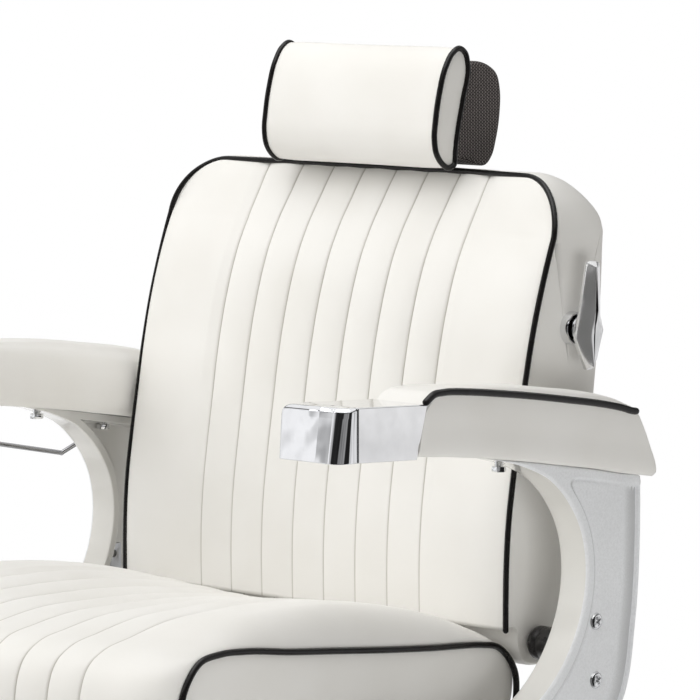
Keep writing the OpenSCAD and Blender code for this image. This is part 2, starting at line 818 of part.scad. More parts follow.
headrest_half = headrest_w / 2;
headrest_origin = [headrest_y0, headrest_z0];
function headrest_outline(draw) =
    let(p = place(headrest_shares, headrest_origin, [headrest_t, headrest_h]))
    let(c = [headrest_y0 + headrest_t * 0.62, headrest_z0 + headrest_h * 0.5])
    [for (q = p) c + draw * (q - c)];
function headrest_ring(i) =
    [for (q = rev(headrest_outline(headrest_draws[i]))) [headrest_stations[i] * headrest_half, q[0], q[1]]];

module headrest_pad() color(white) {
    rings = [for (i = [0:len(headrest_stations) - 1]) headrest_ring(i)];
    m = len(rings) - 1;
    ring_solid(
        rings, middle(rings[0]) - [back_side_bulge, 0, 0], middle(rings[m]) + [back_side_bulge, 0, 0]);
}

module headrest_piping() color(black) both_sides() {
    outline = [for (q = headrest_outline(headrest_draws[1]))
        [headrest_half * headrest_stations[len(headrest_stations) - 2], q[0], q[1]]];
    tube(outline, piping_r, [1, 0, 0], true);
}

module headrest_cover() color(dark) {
    half = cover_w / 2;
    slot = cover_slot_w / 2;
    outline = place(cover_shares, [cover_y0, cover_z0], [cover_d, cover_h]);
    union() {
        difference() {
            along_x(-half, half) polygon(curve(outline, 3));
            along_x(-slot, slot) polygon([
                [cover_slot_y0, cover_z0 - cut], [cover_slot_y1 + cover_slot_flare, cover_z0 - cut],
                [cover_slot_y1, tilt_z + cover_slot_top], [cover_slot_y0, tilt_z + cover_slot_top]
            ]);
        }
        both_sides() plate_place()
            translate([spacer_x, headrest_plate_t, headrest_plate_l * 0.55])
            rotate([-90, 0, 0]) cylinder(r = spacer_r, h = cover_slot_top);
    }
}

// Lock lever of the mast

module lever_escutcheon() color(chrome) at_yz(lock_y, lock_z) {
    x0 = shell_w / 2;
    x1 = x0 + escutcheon_stand;
    difference() {
        union() {
            rod_x(x0, x0 + escutcheon_lip, escutcheon_neck_r);
            rod_x(x1, x1 + escutcheon_t / 2, escutcheon_r);
            rod_x(x1, x1 + escutcheon_t, escutcheon_r - escutcheon_t / 2);
        }
        rod_x(x0 - cut, x0 + escutcheon_lip + cut, lock_shaft_r + run_gap);
    }
}

module lock_shaft() color(chrome) at_yz(lock_y, lock_z) {
    x0 = shell_w / 2;
    rod_x(x0 - lock_shaft_in, x0 + lock_x0, lock_shaft_r);
    rod_x(x0 - lock_shaft_in, x0 - shell_side_wall - gap, lock_shaft_r * 1.25);
}

// Pointed plate with a raised ridge
module lock_lever() color(chrome) at_yz(lock_y, lock_z) {
    x0 = shell_w / 2 + lock_x0;
    plate = [
        [-lock_half_w, -lock_half_w * 0.4], [-lock_foot_w * 0.5, -lock_down],
        [lock_foot_w * 0.5, -lock_down], [lock_half_w * 0.5, -lock_down * 0.84],
        [lock_half_w, -lock_half_w * 0.1], [lock_half_w * 0.78, lock_half_w * 0.65],
        [lock_lean_y + lock_tip_w / 2, lock_up], [lock_lean_y - lock_tip_w / 2, lock_up],
        [-lock_half_w * 0.7, lock_half_w * 0.65]
    ];
    rings = [
        [for (p = plate) [x0, p[0], p[1]]],
        [for (p = plate) [x0 + lock_t, p[0], p[1]]]
    ];
    ring_solid(rings, [x0, 0, 0], [x0 + lock_ridge_t, 0, 0]);
}

// Side castings, bolts and pivots

pad_under_table = [for (s = pad_shares) [pad_y0 + s[0] * pad_l, pad_z0 + s[1] * pad_h]];
function under_pad(y) = lookup(y, pad_under_table);

frame_origin = [frame_y0, frame_z0];
frame_size = [frame_d, frame_h];
function frame_outline() =
    let(inner = curve(place(frame_inner_shares, frame_origin, frame_size), 4))
    let(outer = curve(concat(
        [inner[len(inner) - 1]], place(frame_outer_shares, frame_origin, frame_size)), 4))
    let(top = [for (s = frame_top_y_shares) let(y = frame_y0 + s * frame_d) [y, under_pad(y) - gap]])
    concat(
        [for (i = [1:len(inner) - 1]) inner[i]], [for (i = [1:len(outer) - 1]) outer[i]], top,
        [[inner[0][0], under_pad(inner[0][0]) - gap]]
    );
// First and last points of the outline beside the part wide enough for a pocket and a panel
field_inner = [10, 40];
field_outer = [62, 87];
function frame_field(rim) =
    let(loop = inset(frame_outline(), rim), start = loop[field_inner[0]])
    let(y1 = frame_y0 + frame_d - rim, y2 = start[0] + rim / 2)
    concat(
        [for (i = [field_inner[0]:field_inner[1]]) loop[i]],
        [for (i = [field_outer[0]:field_outer[1]]) loop[i]],
        [for (y = [y1, pivot_y, y2]) [y, under_pad(y) - gap - rim]]
    );

module side_casting() color(paint) difference() {
    along_x(frame_in_x, frame_out_x) polygon(frame_outline());
    difference() {
        along_x(frame_in_x - cut, frame_in_x + frame_pocket_t) polygon(frame_field(frame_rim));
        for (s = frame_bolt_places) at_yz(frame_y0 + s[0] * frame_d, frame_z0 + s[1] * frame_h)
            rod_x(frame_in_x - 2 * cut, frame_out_x, 2 * frame_bolt_r);
    }
    along_x(frame_out_x - frame_panel_t, frame_out_x + cut) polygon(frame_field(frame_panel_rim));
    for (side = [-1, 1]) at_yz(pivot_y, pivot_z + side * screw_pitch / 2)
        rod_x(frame_in_x, frame_out_x + cut, screw_r + run_gap);
    for (s = frame_bolt_places) at_yz(frame_y0 + s[0] * frame_d, frame_z0 + s[1] * frame_h)
        rod_x(frame_in_x - cut, frame_out_x + cut, frame_bolt_r + run_gap);
    for (s = arm_bolt_shares) let(y = pad_y0 + s * pad_l)
        translate([arm_bolt_x, y, bolt_seat_z(y) - arm_bolt_head_h])
            cylinder(r = arm_bolt_r + run_gap, h = frame_h);
}
module side_frame_left() {
    side_casting();
}
module side_frame_right() {
    mirror([1, 0, 0]) side_casting();
}

// Shouldered bolts between the seat frame and the castings
module frame_bolts() color(steel) both_sides() {
    for (s = frame_bolt_places) at_yz(frame_y0 + s[0] * frame_d, frame_z0 + s[1] * frame_h) {
        rod_x(rail_gap_w / 2 + rail_w, frame_in_x, frame_bolt_r * 1.6);
        rod_x(frame_in_x - cut, frame_out_x - frame_panel_t, frame_bolt_r);
    }
}

module pivot_brackets() color(steel) both_sides() {
    x1 = frame_in_x + frame_pocket_t;
    difference() {
        union() {
            at_yz(pivot_y, pivot_z) {
                rod_x(shell_w / 2 - shell_side_wall - eye_t - 2 * gap, x1, pivot_r);
                rod_x(hub_cap_x1, x1 - bracket_t / 2, pivot_r * 1.4);
            }
            translate([x1 - bracket_t, pivot_y - bracket_w / 2, pivot_z - bracket_h / 2])
                cube([bracket_t, bracket_w, bracket_h]);
        }
        for (side = [-1, 1]) at_yz(pivot_y, pivot_z + side * screw_pitch / 2)
            rod_x(x1 - bracket_t - cut, x1 + cut, screw_r);
    }
}

module pivot_hub_caps() color(black) both_sides() at_yz(pivot_y, pivot_z) {
    difference() {
        union() {
            rod_x(hub_cap_x0 + hub_cap_edge, hub_cap_x1, hub_d / 2);
            rod_x(hub_cap_x0, hub_cap_x0 + hub_cap_edge + cut, hub_d / 2 - hub_cap_edge / 2);
        }
        rod_x(hub_cap_x0 - cut, hub_cap_x1 + cut, pivot_r);
    }
}

// Cross-slotted screws with washers, two on each casting
module cross_screw() {
    x0 = frame_out_x - frame_panel_t;
    difference() {
        union() {
            rod_x(frame_in_x + frame_pocket_t - bracket_t, x0 + cut, screw_r);
            rod_x(x0, x0 + screw_head_h / 2, screw_head_r);
            rod_x(x0, x0 + screw_head_h, screw_head_r * 0.72);
        }
        for (turn = [0, 90]) translate([x0 + screw_head_h, 0, 0]) rotate([turn, 0, 0])
            cube([2 * screw_slot_h, screw_slot_w, screw_slot_l], center = true);
    }
}
module bracket_screws() color(chrome) both_sides() {
    for (side = [-1, 1]) at_yz(pivot_y, pivot_z + side * screw_pitch / 2) cross_screw();
}

// Arm pads, plates, chrome noses and bolts

arm_in_x = arm_out_x - arm_w;
function pad_point(s, q) =
    let(z = pad_z0 + pad_h * (s[1] + q[1] * (s[2] - s[1]) + q[2] * (s[3] - s[2])))
    [arm_in_x + q[0] * arm_w, pad_y0 + s[0] * pad_l + s[4] * (z - pad_z0 - s[1] * pad_h), z];
module pad_solid() {
    rings = [for (s = pad_shares) [for (q = rev(pad_ring_shares)) pad_point(s, q)]];
    m = len(rings) - 1;
    ring_solid(rings, middle(rings[0]), middle(rings[m]));
}
module arm_pad() color(white) difference() {
    pad_solid();
    arm_plate_solid(gap);
}
module arm_plate_solid(margin) {
    y1 = pad_y0 + arm_plate_y1_share * pad_l + margin;
    x0 = arm_in_x + arm_plate_edge;
    places = [for (s = pad_shares) if (s[0] > 0.03 && s[0] < arm_plate_y1_share) pad_y0 + s[0] * pad_l];
    ys = concat([pad_y0 + 2 * gap], places, [y1]);
    z0 = nose_z0 + nose_wall + gap;
    low = concat([[pad_y0 - arm_plate_nose_l, z0]], [[pad_y0 + 2 * gap, z0]],
        [for (y = ys) [y, under_pad(y) - (margin > 0 ? cut : 0)]]);
    high = concat([[pad_y0 - arm_plate_nose_l, z0 + arm_plate_t]],
        [[pad_y0 - 2 * gap, z0 + arm_plate_t + margin]],
        [for (y = ys) [y, under_pad(y) + arm_plate_t + margin]]);
    along_x(x0 - margin, x0 + arm_w - 2 * arm_plate_edge + margin) polygon(concat(low, rev(high)));
}
module arm_plate() color(steel) difference() {
    arm_plate_solid(0);
    for (s = arm_bolt_shares) let(y = pad_y0 + s * pad_l)
        translate([arm_bolt_x, y, pad_z0 - cut]) cylinder(r = arm_bolt_r, h = pad_h);
    translate([nose_screw_x, nose_screw_y, nose_z0]) cylinder(r = nose_screw_r, h = nose_h);
}
module arm_piping() color(black) {
    path = concat(
        [pad_point(pad_shares[0], pad_ring_shares[1]) + [piping_lift, piping_r, 0]],
        [for (i = [1:len(pad_shares) - 1])
            pad_point(pad_shares[i], pad_ring_shares[1]) + [piping_lift, 0, 0]]);
    tube(path, piping_r, [1, 0, 0]);
}

// Chrome nose: raked front, slanted rear, round upright corners
module nose_block(margin, rear) {
    y0 = pad_y0 - nose_l;
    z1 = nose_z0 + nose_h;
    r = nose_corner_r - margin;
    x0 = arm_in_x + margin;
    x1 = arm_out_x - margin;
    y_far = pad_y0 + nose_rear_slant + rear;
    intersection() {
        along_x(x0, x1) polygon([
            [y0 + margin, nose_z0 + margin], [pad_y0 + rear - gap, nose_z0 + margin],
            [y_far - gap, z1 - margin], [y0 + nose_rake + margin, z1 - margin]
        ]);
        upright_prism(x0, x1, y0 + margin, y_far, r, max(1, nose_inner_r - margin));
        rotate([90, 0, 0]) translate([0, 0, -y_far]) linear_extrude(height = y_far - y0 + nose_h)
            nose_front(x0, x1, z1 - margin, nose_top_r - margin);
    }
}
// Outline of the nose from the front, with a round upper inner corner
module nose_front(x0, x1, z1, r) {
    polygon(concat(
        [[x0, nose_z0 - cut], [x1, nose_z0 - cut], [x1, z1]],
        [for (k = [0:arc_steps]) let(a = 90 + 90 * k / arc_steps) [x0 + r + r * cos(a), z1 - r + r * sin(a)]]
    ));
}
// Upright block with round front corners that follow the rake, the inner one tighter
module upright_prism(x0, x1, y0, y1, r, r_in) {
    lean = atan(nose_rake / nose_h);
    translate([0, y0, nose_z0]) rotate([-lean, 0, 0]) translate([0, 0, -nose_h])
        linear_extrude(height = 3 * nose_h) polygon(concat(
            [[x1, y1 - y0 + nose_h], [x0, y1 - y0 + nose_h]],
            [for (k = [0:arc_steps]) let(a = 180 + 90 * k / arc_steps)
                [x0 + r_in + r_in * cos(a), r_in + r_in * sin(a)]],
            [for (k = [0:arc_steps]) let(a = 270 + 90 * k / arc_steps) [x1 - r + r * cos(a), r + r * sin(a)]]
        ));
}
nose_seam_y = pad_y0 - nose_l * (1 - nose_cap_share - 0.035);
module nose_split(y0, y1) {
    translate([0, y0, nose_z0 - cut]) cube([arm_out_x + cut, y1 - y0, nose_h + 2 * cut]);
}
module nose_shell() difference() {
    nose_block(0, 0);
    nose_block(nose_wall, nose_l);
}
module arm_nose() color(chrome) difference() {
    intersection() {
        nose_shell();
        nose_split(nose_seam_y + nose_cap_gap, pad_y0 + pad_l);
    }
    translate([nose_screw_x, nose_screw_y, nose_z0 - cut])
        cylinder(r = nose_screw_r, h = nose_wall + 2 * cut);
}
module arm_cap() color(chrome) union() {
    intersection() {
        nose_shell();
        nose_split(nose_seam_y - nose_l, nose_seam_y);
    }
    intersection() {
        difference() {
            nose_block(nose_wall - gap, 0);
            nose_block(2 * nose_wall, nose_l);
        }
        nose_split(nose_seam_y - nose_corner_r / 2, nose_seam_y);
    }
    intersection() {
        difference() {
            nose_block(nose_wall + gap, 0);
            nose_block(2 * nose_wall, nose_l);
        }
        nose_split(nose_seam_y - cut, nose_seam_y + nose_corner_r / 2);
    }
}

module left_arm_bolts() {
    for (s = arm_bolt_shares) let(y = pad_y0 + s * pad_l, z1 = under_pad(y) + arm_plate_t - cut)
        translate([arm_bolt_x, y, 0]) {
            translate([0, 0, bolt_seat_z(y)]) cylinder(r = arm_bolt_r, h = z1 - bolt_seat_z(y));
            translate([0, 0, bolt_seat_z(y) - arm_bolt_head_h])
                cylinder(r = arm_bolt_head_r, h = arm_bolt_head_h, $fn = 6);
        }
    translate([nose_screw_x, nose_screw_y, nose_z0 - nose_screw_h]) {
        cylinder(r = nose_screw_r * 1.8, h = nose_screw_h);
        cylinder(r = nose_screw_r, h = nose_screw_h + nose_wall + gap + arm_plate_t);
    }
}
// Lower face of the upper arm of the casting, where the bolt heads sit
frame_inner_table = [for (s = frame_inner_shares) if (s[1] > 0.6)
    [frame_y0 + s[0] * frame_d, frame_z0 + s[1] * frame_h]];
function bolt_seat_z(y) = (y > frame_y0 + frame_d * 0.78 ? under_pad(y) - gap - frame_rim
    : lookup(y, frame_inner_table)) - arm_bolt_ease;
module arm_bolts() color(steel) both_sides() left_arm_bolts();

module arm_pad_left() {
    arm_pad();
}
module arm_pad_right() {
    mirror([1, 0, 0]) arm_pad();
}
module arm_plate_left() {
    arm_plate();
}
module arm_plate_right() {
    mirror([1, 0, 0]) arm_plate();
}
module arm_piping_left() {
    arm_piping();
}
module arm_piping_right() {
    mirror([1, 0, 0]) arm_piping();
}
module arm_nose_left() {
    arm_nose();
}
module arm_nose_right() {
    mirror([1, 0, 0]) arm_nose();
}
module arm_cap_left() {
    arm_cap();
}
module arm_cap_right() {
    mirror([1, 0, 0]) arm_cap();
}

// Towel rail: a straight rod with both ends turned in and up to the casting
module rod_between(a, b, r) {
    d = b - a;
    l = norm(d);
    translate(a) rotate([0, acos(d[2] / l), atan2(d[1], d[0])]) cylinder(r = r, h = l);
}
module towel_rail() color(chrome) {
    front = [-towel_x, towel_front[0], towel_front[1]];
    rear = [-towel_x, towel_rear[0], towel_rear[1]];
    front_foot = [-nose_screw_x, towel_front[0], under_pad(towel_front[0] + towel_foot_r)];
    front_turn = [front_foot[0], front[1], front[2]];
    rear_foot = [-frame_out_x - gap, towel_rear[0] + towel_rise, towel_rear[1] + towel_rise];
    rod_between(front, rear, towel_r);
    rod_between(front, front_turn, towel_r);
    rod_between(front_turn, front_foot, towel_r);
    rod_between(rear, rear_foot, towel_r);
    for (p = [front, rear, front_turn]) translate(p) sphere(r = towel_bend_r);
    translate(front_foot - [0, 0, towel_foot_t]) cylinder(r = towel_foot_r, h = towel_foot_t);
    translate(rear_foot) rotate([0, -90, 0]) cylinder(r = towel_foot_r, h = towel_foot_t);
}

// Seat board, frame and swivel hub

module seat_board() color(ply) {
    translate([-board_w / 2, board_y0, seat_board_z0]) cube([board_w, board_y1 - board_y0, board_t]);
}

module seat_frame() color(paint) {
    x1 = rail_gap_w / 2 + rail_w;
    difference() {
        union() {
            both_sides() translate([rail_gap_w / 2, rail_y0, rail_z0])
                cube([rail_w, rail_y1 - rail_y0, rail_h]);
            for (y = [rail_y0, -(cross_w + hub_plate_d) / 2, (hub_plate_d - cross_w) / 2, rail_y1 - cross_w])
                translate([-x1 + cut, y, rail_z0]) cube([2 * x1 - 2 * cut, cross_w, rail_h]);
            translate([-hub_plate_w / 2, -hub_plate_d / 2 - cut, rail_z0])
                cube([hub_plate_w, hub_plate_d + 2 * cut, hub_plate_t]);
        }
        translate([0, 0, rail_z0 - cut]) cylinder(r = spigot_r + run_gap, h = rail_h);
    }
}

hub_z0 = ram_flange_z0 + ram_flange_t + bearing_t;
module swivel_hub() color(paint) difference() {
    union() {
        translate([0, 0, hub_z0]) cylinder(r = hub_r, h = rail_z0 - hub_z0);
        translate([0, 0, rail_z0 - hub_flange_t]) cylinder(r = hub_flange_r, h = hub_flange_t);
    }
    translate([0, 0, hub_z0 - cut]) cylinder(r = spigot_r + run_gap, h = rail_h + hub_plate_w);
}

module thrust_bearing() color(steel) difference() {
    translate([0, 0, hub_z0 - bearing_t]) cylinder(r = bearing_r, h = bearing_t);
    translate([0, 0, hub_z0 - bearing_t - cut]) cylinder(r = spigot_r, h = bearing_t + 2 * cut);
}

// Ram with its flange and the spigot that carries the hub
module ram() color(chrome) {
    translate([0, 0, ram_z0]) cylinder(r = ram_r, h = ram_flange_z0 - ram_z0);
    translate([0, 0, ram_flange_z0]) cylinder(r = ram_flange_r, h = ram_flange_t);
    translate([0, 0, ram_flange_z0]) cylinder(r = spigot_r, h = ram_flange_t + spigot_l);
}

module cylinder_tube() color(steel) difference() {
    translate([0, 0, tube_z0]) cylinder(r = ram_r + run_gap + tube_wall, h = tube_top_z - tube_z0);
    translate([0, 0, tube_z0 + tube_floor]) cylinder(r = ram_r + run_gap, h = tube_top_z);
}

module gland_ring() color(steel) difference() {
    translate([0, 0, tube_top_z]) cylinder(r = gland_r, h = gland_h);
    translate([0, 0, tube_top_z - cut]) cylinder(r = ram_r + run_gap, h = gland_h + 2 * cut);
}

module column_housing() color(chrome) {
    z0 = gasket_t + base_h;
    rotate_extrude() polygon([
        [column_r - column_wall, z0], [column_foot_r, z0], [column_foot_r, z0 + column_foot_h / 3],
        [column_r + column_wall, z0 + column_foot_h * 0.7], [column_r, z0 + column_foot_h],
        [column_r, column_top_z - column_wall], [column_r - column_wall / 2, column_top_z],
        [ram_r + column_wall, column_top_z], [ram_r + column_wall, column_top_z - column_wall],
        [column_r - column_wall, column_top_z - column_wall]
    ]);
}

// Domed base plate
module base_plate() color(paint) difference() {
    rotate_extrude() polygon(concat(
        [[0, gasket_t], [base_r, gasket_t], [base_r, gasket_t + base_rim_h - trim_h / 2]],
        [for (k = [0:arc_steps]) let(t = k / arc_steps)
            [base_r - trim_t - (base_r - trim_t - column_foot_r) * t,
            gasket_t + base_rim_h + (base_h - base_rim_h) * sin(90 * t)]],
        [[0, gasket_t + base_h]]
    ));
    translate([0, 0, tube_z0]) cylinder(r = ram_r + run_gap + tube_wall + gap, h = base_h + base_rim_h);
    trim_ring(gap);
    rotate_extrude() polygon(concat(
        [[column_foot_r, gasket_t - cut], [base_r - base_rim_w, gasket_t - cut]],
        [for (k = [0:arc_steps]) let(t = k / arc_steps)
            [base_r - base_rim_w - (base_r - base_rim_w - column_foot_r) * t,
            gasket_t + base_rim_h - base_wall + (base_h - base_rim_h) * sin(90 * t)]]
    ));
}
module trim_ring(margin) {
    translate([0, 0, gasket_t + base_rim_h - trim_h - margin]) difference() {
        cylinder(r = base_r + trim_t, h = trim_h + 2 * margin);
        translate([0, 0, -cut]) cylinder(r = base_r - trim_t + gap - margin, h = trim_h + 2 * cut + margin);
    }
}
module base_trim_ring() color(chrome) {
    trim_ring(0);
}
module floor_gasket() color(rubber) difference() {
    cylinder(r = base_r - gasket_inset, h = gasket_t);
    translate([0, 0, -cut]) cylinder(r = base_r - base_rim_w, h = gasket_t + 2 * cut);
}

// Pump pedal

module pedal_bracket() color(paint) {
    z0 = gasket_t + base_h - base_rim_h;
    difference() {
        union() {
            for (side = [-1, 1]) translate([0, side * (pedal_arm_w / 2 + lug_gap + lug_t / 2), 0]) {
                translate([pedal_pivot_x, lug_t / 2, pedal_pivot_z]) rotate([90, 0, 0])
                    cylinder(r = lug_r, h = lug_t);
                translate([column_r * 0.6, -lug_t / 2, pedal_pivot_z - lug_r])
                    cube([pedal_pivot_x - column_r * 0.6, lug_t, 2 * lug_r]);
            }
        }
        translate([0, 0, z0]) cylinder(r = column_r + gap, h = column_top_z);
    }
    translate([pedal_pivot_x, pedal_arm_w / 2 + lug_gap + lug_t, pedal_pivot_z]) rotate([90, 0, 0])
        cylinder(r = pedal_pin_r, h = pedal_arm_w + 2 * lug_gap + 2 * lug_t);
}

pedal_lean = asin(pedal_rise / pedal_l);
module pedal_place() {
    translate([pedal_pivot_x, 0, pedal_pivot_z]) rotate([0, -pedal_lean, 0]) children();
}
module pedal_arm() color(chrome) pedal_place() difference() {
    union() {
        translate([0, pedal_arm_w / 2, 0]) rotate([90, 0, 0]) cylinder(r = pedal_eye_r, h = pedal_arm_w);
        translate([0, -pedal_arm_w / 2, -pedal_arm_h / 2])
            cube([pedal_l - pedal_pad_l, pedal_arm_w, pedal_arm_h]);
        translate([0, 0, -pedal_arm_h / 4]) linear_extrude(height = pedal_arm_h / 2) polygon([
            [pedal_l - 2 * pedal_pad_l, -pedal_arm_w / 2], [pedal_l - pedal_pad_l, -pedal_arm_w],
            [pedal_l - pedal_pad_r, -pedal_arm_w], [pedal_l - pedal_pad_r, pedal_arm_w],
            [pedal_l - pedal_pad_l, pedal_arm_w], [pedal_l - 2 * pedal_pad_l, pedal_arm_w / 2]
        ]);
    }
    translate([0, pedal_arm_w, 0]) rotate([90, 0, 0])
        cylinder(r = pedal_pin_r + run_gap, h = 2 * pedal_arm_w);
}
module pedal_pad() color(rubber) pedal_place() {
    difference() {
        translate([pedal_l - pedal_pad_l + gap, -pedal_pad_w / 2, -pedal_pad_t / 2])
            cube([pedal_pad_l, pedal_pad_w, pedal_pad_t]);
        translate([pedal_l - 2 * pedal_pad_l, -pedal_arm_w - gap, -pedal_arm_h / 4 - gap])
            cube([2 * pedal_pad_l - pedal_pad_r + gap, 2 * pedal_arm_w + 2 * gap, pedal_arm_h / 2 + 2 * gap]);
    }
}

// Recline lever

module lever_bracket() color(steel) {
    x0 = rail_gap_w / 2 + rail_w;
    difference() {
        union() {
            translate([x0, lever_y - lever_boss_r, lever_z - lever_boss_r])
                cube([lever_plate_t, 2 * lever_boss_r, 2 * lever_boss_r]);
            at_yz(lever_y, lever_z) rod_x(x0, lever_x0, lever_boss_r * 0.8);
        }
        at_yz(lever_y, lever_z) rod_x(x0 - cut, lever_x0 + cut, lever_shaft_r + run_gap);
    }
}
module lever_place() {
    at_yz(lever_y, lever_z) rotate([-lever_rise, 0, 0]) children();
}
module recline_lever() color(chrome) {
    x0 = rail_gap_w / 2 + rail_w;
    lever_place() {
        rod_x(x0 + gap, lever_x0 + gap + lever_plate_t, lever_shaft_r);
        rod_x(lever_x0 + gap, lever_x0 + gap + lever_plate_t, lever_boss_r);
        translate([lever_x0 + gap, -lever_l, -lever_h / 2]) cube([lever_plate_t, lever_l, lever_h]);
        translate([lever_x0 + gap + lever_plate_t / 2, -lever_l + cut, 0]) rotate([90, 0, 0])
            cylinder(r = lever_plate_t / 2, h = lever_grip_l * 0.8);
    }
}
module recline_grip() color(black) lever_place() {
    translate([lever_x0 + gap + lever_plate_t / 2, -lever_l - gap, 0]) rotate([90, 0, 0]) difference() {
        union() {
            cylinder(r = lever_grip_r, h = lever_grip_l);
            translate([0, 0, lever_grip_l]) sphere(r = lever_grip_r);
        }
        translate([0, 0, -cut]) cylinder(r = lever_plate_t / 2, h = lever_grip_l * 0.8 + cut);
    }
}

// Legrest and footrest: u runs down the legrest from its pivot, v runs out of its face

legrest_half = legrest_w / 2;
function legrest_at(u, v) = [
    legrest_y - u * sin(legrest_lean) - v * cos(legrest_lean),
    legrest_z - u * cos(legrest_lean) + v * sin(legrest_lean)
];
module legrest_place() {
    translate([0, legrest_y, legrest_z]) rotate([-legrest_lean, 0, 0]) children();
}
function legrest_ring(x) =
    let(b = legrest_bulge * roll(x, legrest_half, legrest_roll_w))
    [for (s = legrest_shares)
        let(v = legrest_pad_v + s[1] * (legrest_pad_t - legrest_bulge) + s[2] * b)
        let(p = legrest_at(legrest_pad_u + s[0] * legrest_l, v))
        [x * (1 - 0.02 * (1 - s[1])), p[0], p[1]]];
legrest_stations = [
    -1, -0.985, -0.95, -0.9, -0.83, -0.66, -0.33, 0, 0.33, 0.66, 0.83, 0.9, 0.95, 0.985, 1
];
module legrest_pad() color(white) {
    rings = [for (s = legrest_stations) legrest_ring(s * legrest_half)];
    m = len(rings) - 1;
    ring_solid(
        rings, middle(rings[0]) - [back_side_bulge, 0, 0], middle(rings[m]) + [back_side_bulge, 0, 0]);
}
// Local frame of the legrest: -Z down the legrest, -Y out of its face
module legrest_board() color(ply) legrest_place() {
    w = legrest_w - 2 * legrest_board_edge;
    translate([-w / 2, -legrest_pad_v + gap, -legrest_pad_u - legrest_l + legrest_board_edge])
        cube([w, legrest_pad_v - gap - legrest_tube_v - legrest_tube_r, legrest_l - 2 * legrest_board_edge]);
}
module legrest_frame() color(chrome) {
    difference() {
        legrest_place() {
            both_sides() {
                translate([legrest_tube_x, -legrest_tube_v, -legrest_tube_l])
                    cylinder(r = legrest_tube_r, h = legrest_tube_l);
                translate([legrest_tube_x, -legrest_tube_v, -legrest_tube_l]) sphere(r = legrest_tube_r);
                translate([legrest_tube_x, -legrest_tube_v, -legrest_tube_l]) rotate([90, 0, 0])
                    cylinder(r = legrest_tube_r, h = footrest_v - legrest_tube_v - footrest_eye_r / 2);
                translate([legrest_tube_x - legrest_eye_t / 2, 0, 0]) {
                    rod_x(0, legrest_eye_t, legrest_eye_r);
                    translate([0, 0, -legrest_eye_r])
                        cube([legrest_eye_t, -legrest_tube_v, 1.5 * legrest_eye_r]);
                }
                translate([legrest_tube_x - legrest_eye_t / 2, -footrest_v, -legrest_tube_l])
                    rod_x(0, legrest_eye_t, footrest_eye_r);
            }
            translate([0, -legrest_tube_v, -legrest_tube_l])
                rod_x(-legrest_tube_x, legrest_tube_x, legrest_tube_r);
        }
        at_yz(legrest_y, legrest_z) rod_x(-legrest_w, legrest_w, legrest_pin_r + run_gap);
        at_yz(footrest_y, footrest_z) rod_x(-legrest_w, legrest_w, footrest_pin_r + run_gap);
    }
}
module legrest_brackets() color(steel) both_sides() {
    x1 = legrest_tube_x - legrest_eye_t / 2 - gap;
    x0 = x1 - legrest_ear_t;
    at_yz(legrest_y, legrest_z) {
        rod_x(x0, x1, legrest_eye_r);
        rod_x(x0, legrest_tube_x + legrest_eye_t / 2 + gap, legrest_pin_r);
    }
    translate([x0, legrest_y - legrest_eye_r, legrest_z])
        cube([legrest_ear_t, 2 * legrest_eye_r + cross_w / 2, rail_z0 - legrest_z]);
}

module footrest_frame() color(chrome) {
    x0 = legrest_tube_x + legrest_eye_t / 2 + gap;
    bar = footrest_bar_w;
    both_sides() {
        at_yz(footrest_y, footrest_z) {
            rod_x(legrest_tube_x - legrest_eye_t / 2 - gap, x0 + lug_t, footrest_pin_r);
            rod_x(x0, x0 + lug_t, footrest_eye_r);
        }
        translate([x0, footrest_y - footrest_l, footrest_z - footrest_t / 2])
            cube([lug_t, footrest_l, footrest_t]);
    }
    translate([-x0 - cut, footrest_y - footrest_l, footrest_z - footrest_t / 2])
        cube([2 * x0 + 2 * cut, footrest_l - footrest_eye_r - bar, footrest_t - footrest_tread_t]);
}
module footrest_tread() color(rubber) {
    x0 = legrest_tube_x + legrest_eye_t / 2 - footrest_tread_edge;
    d = footrest_l - footrest_eye_r - footrest_bar_w - 2 * footrest_tread_edge;
    z = footrest_z + footrest_t / 2 - footrest_tread_t;
    translate([-x0, footrest_y - footrest_l + footrest_tread_edge, z]) cube([2 * x0, d, footrest_tread_t]);
}

floor_gasket();
base_plate();
base_trim_ring();
column_housing();
cylinder_tube();
gland_ring();
pedal_bracket();
pedal_arm();
pedal_pad();
ram();
thrust_bearing();
swivel_hub();
seat_frame();
seat_board();
seat_cushion();
seat_piping();
side_frame_left();
side_frame_right();
frame_bolts();
pivot_brackets();
pivot_hub_caps();
bracket_screws();
arm_plate_left();
arm_plate_right();
arm_pad_left();
arm_pad_right();
arm_piping_left();
arm_piping_right();
arm_nose_left();
arm_nose_right();
arm_cap_left();
arm_cap_right();
arm_bolts();
towel_rail();
legrest_brackets();
lever_bracket();
recline_lever();
recline_grip();
back_cushion();
back_piping();
back_shell();
back_board();
back_frame();
headrest_guide();
lever_escutcheon();
lock_lever();
lock_shaft();
headrest_mast();
headrest_pad();
headrest_piping();
headrest_plate();
headrest_cover();
headrest_pin();
legrest_pad();
legrest_board();
legrest_frame();
footrest_frame();
footrest_tread();
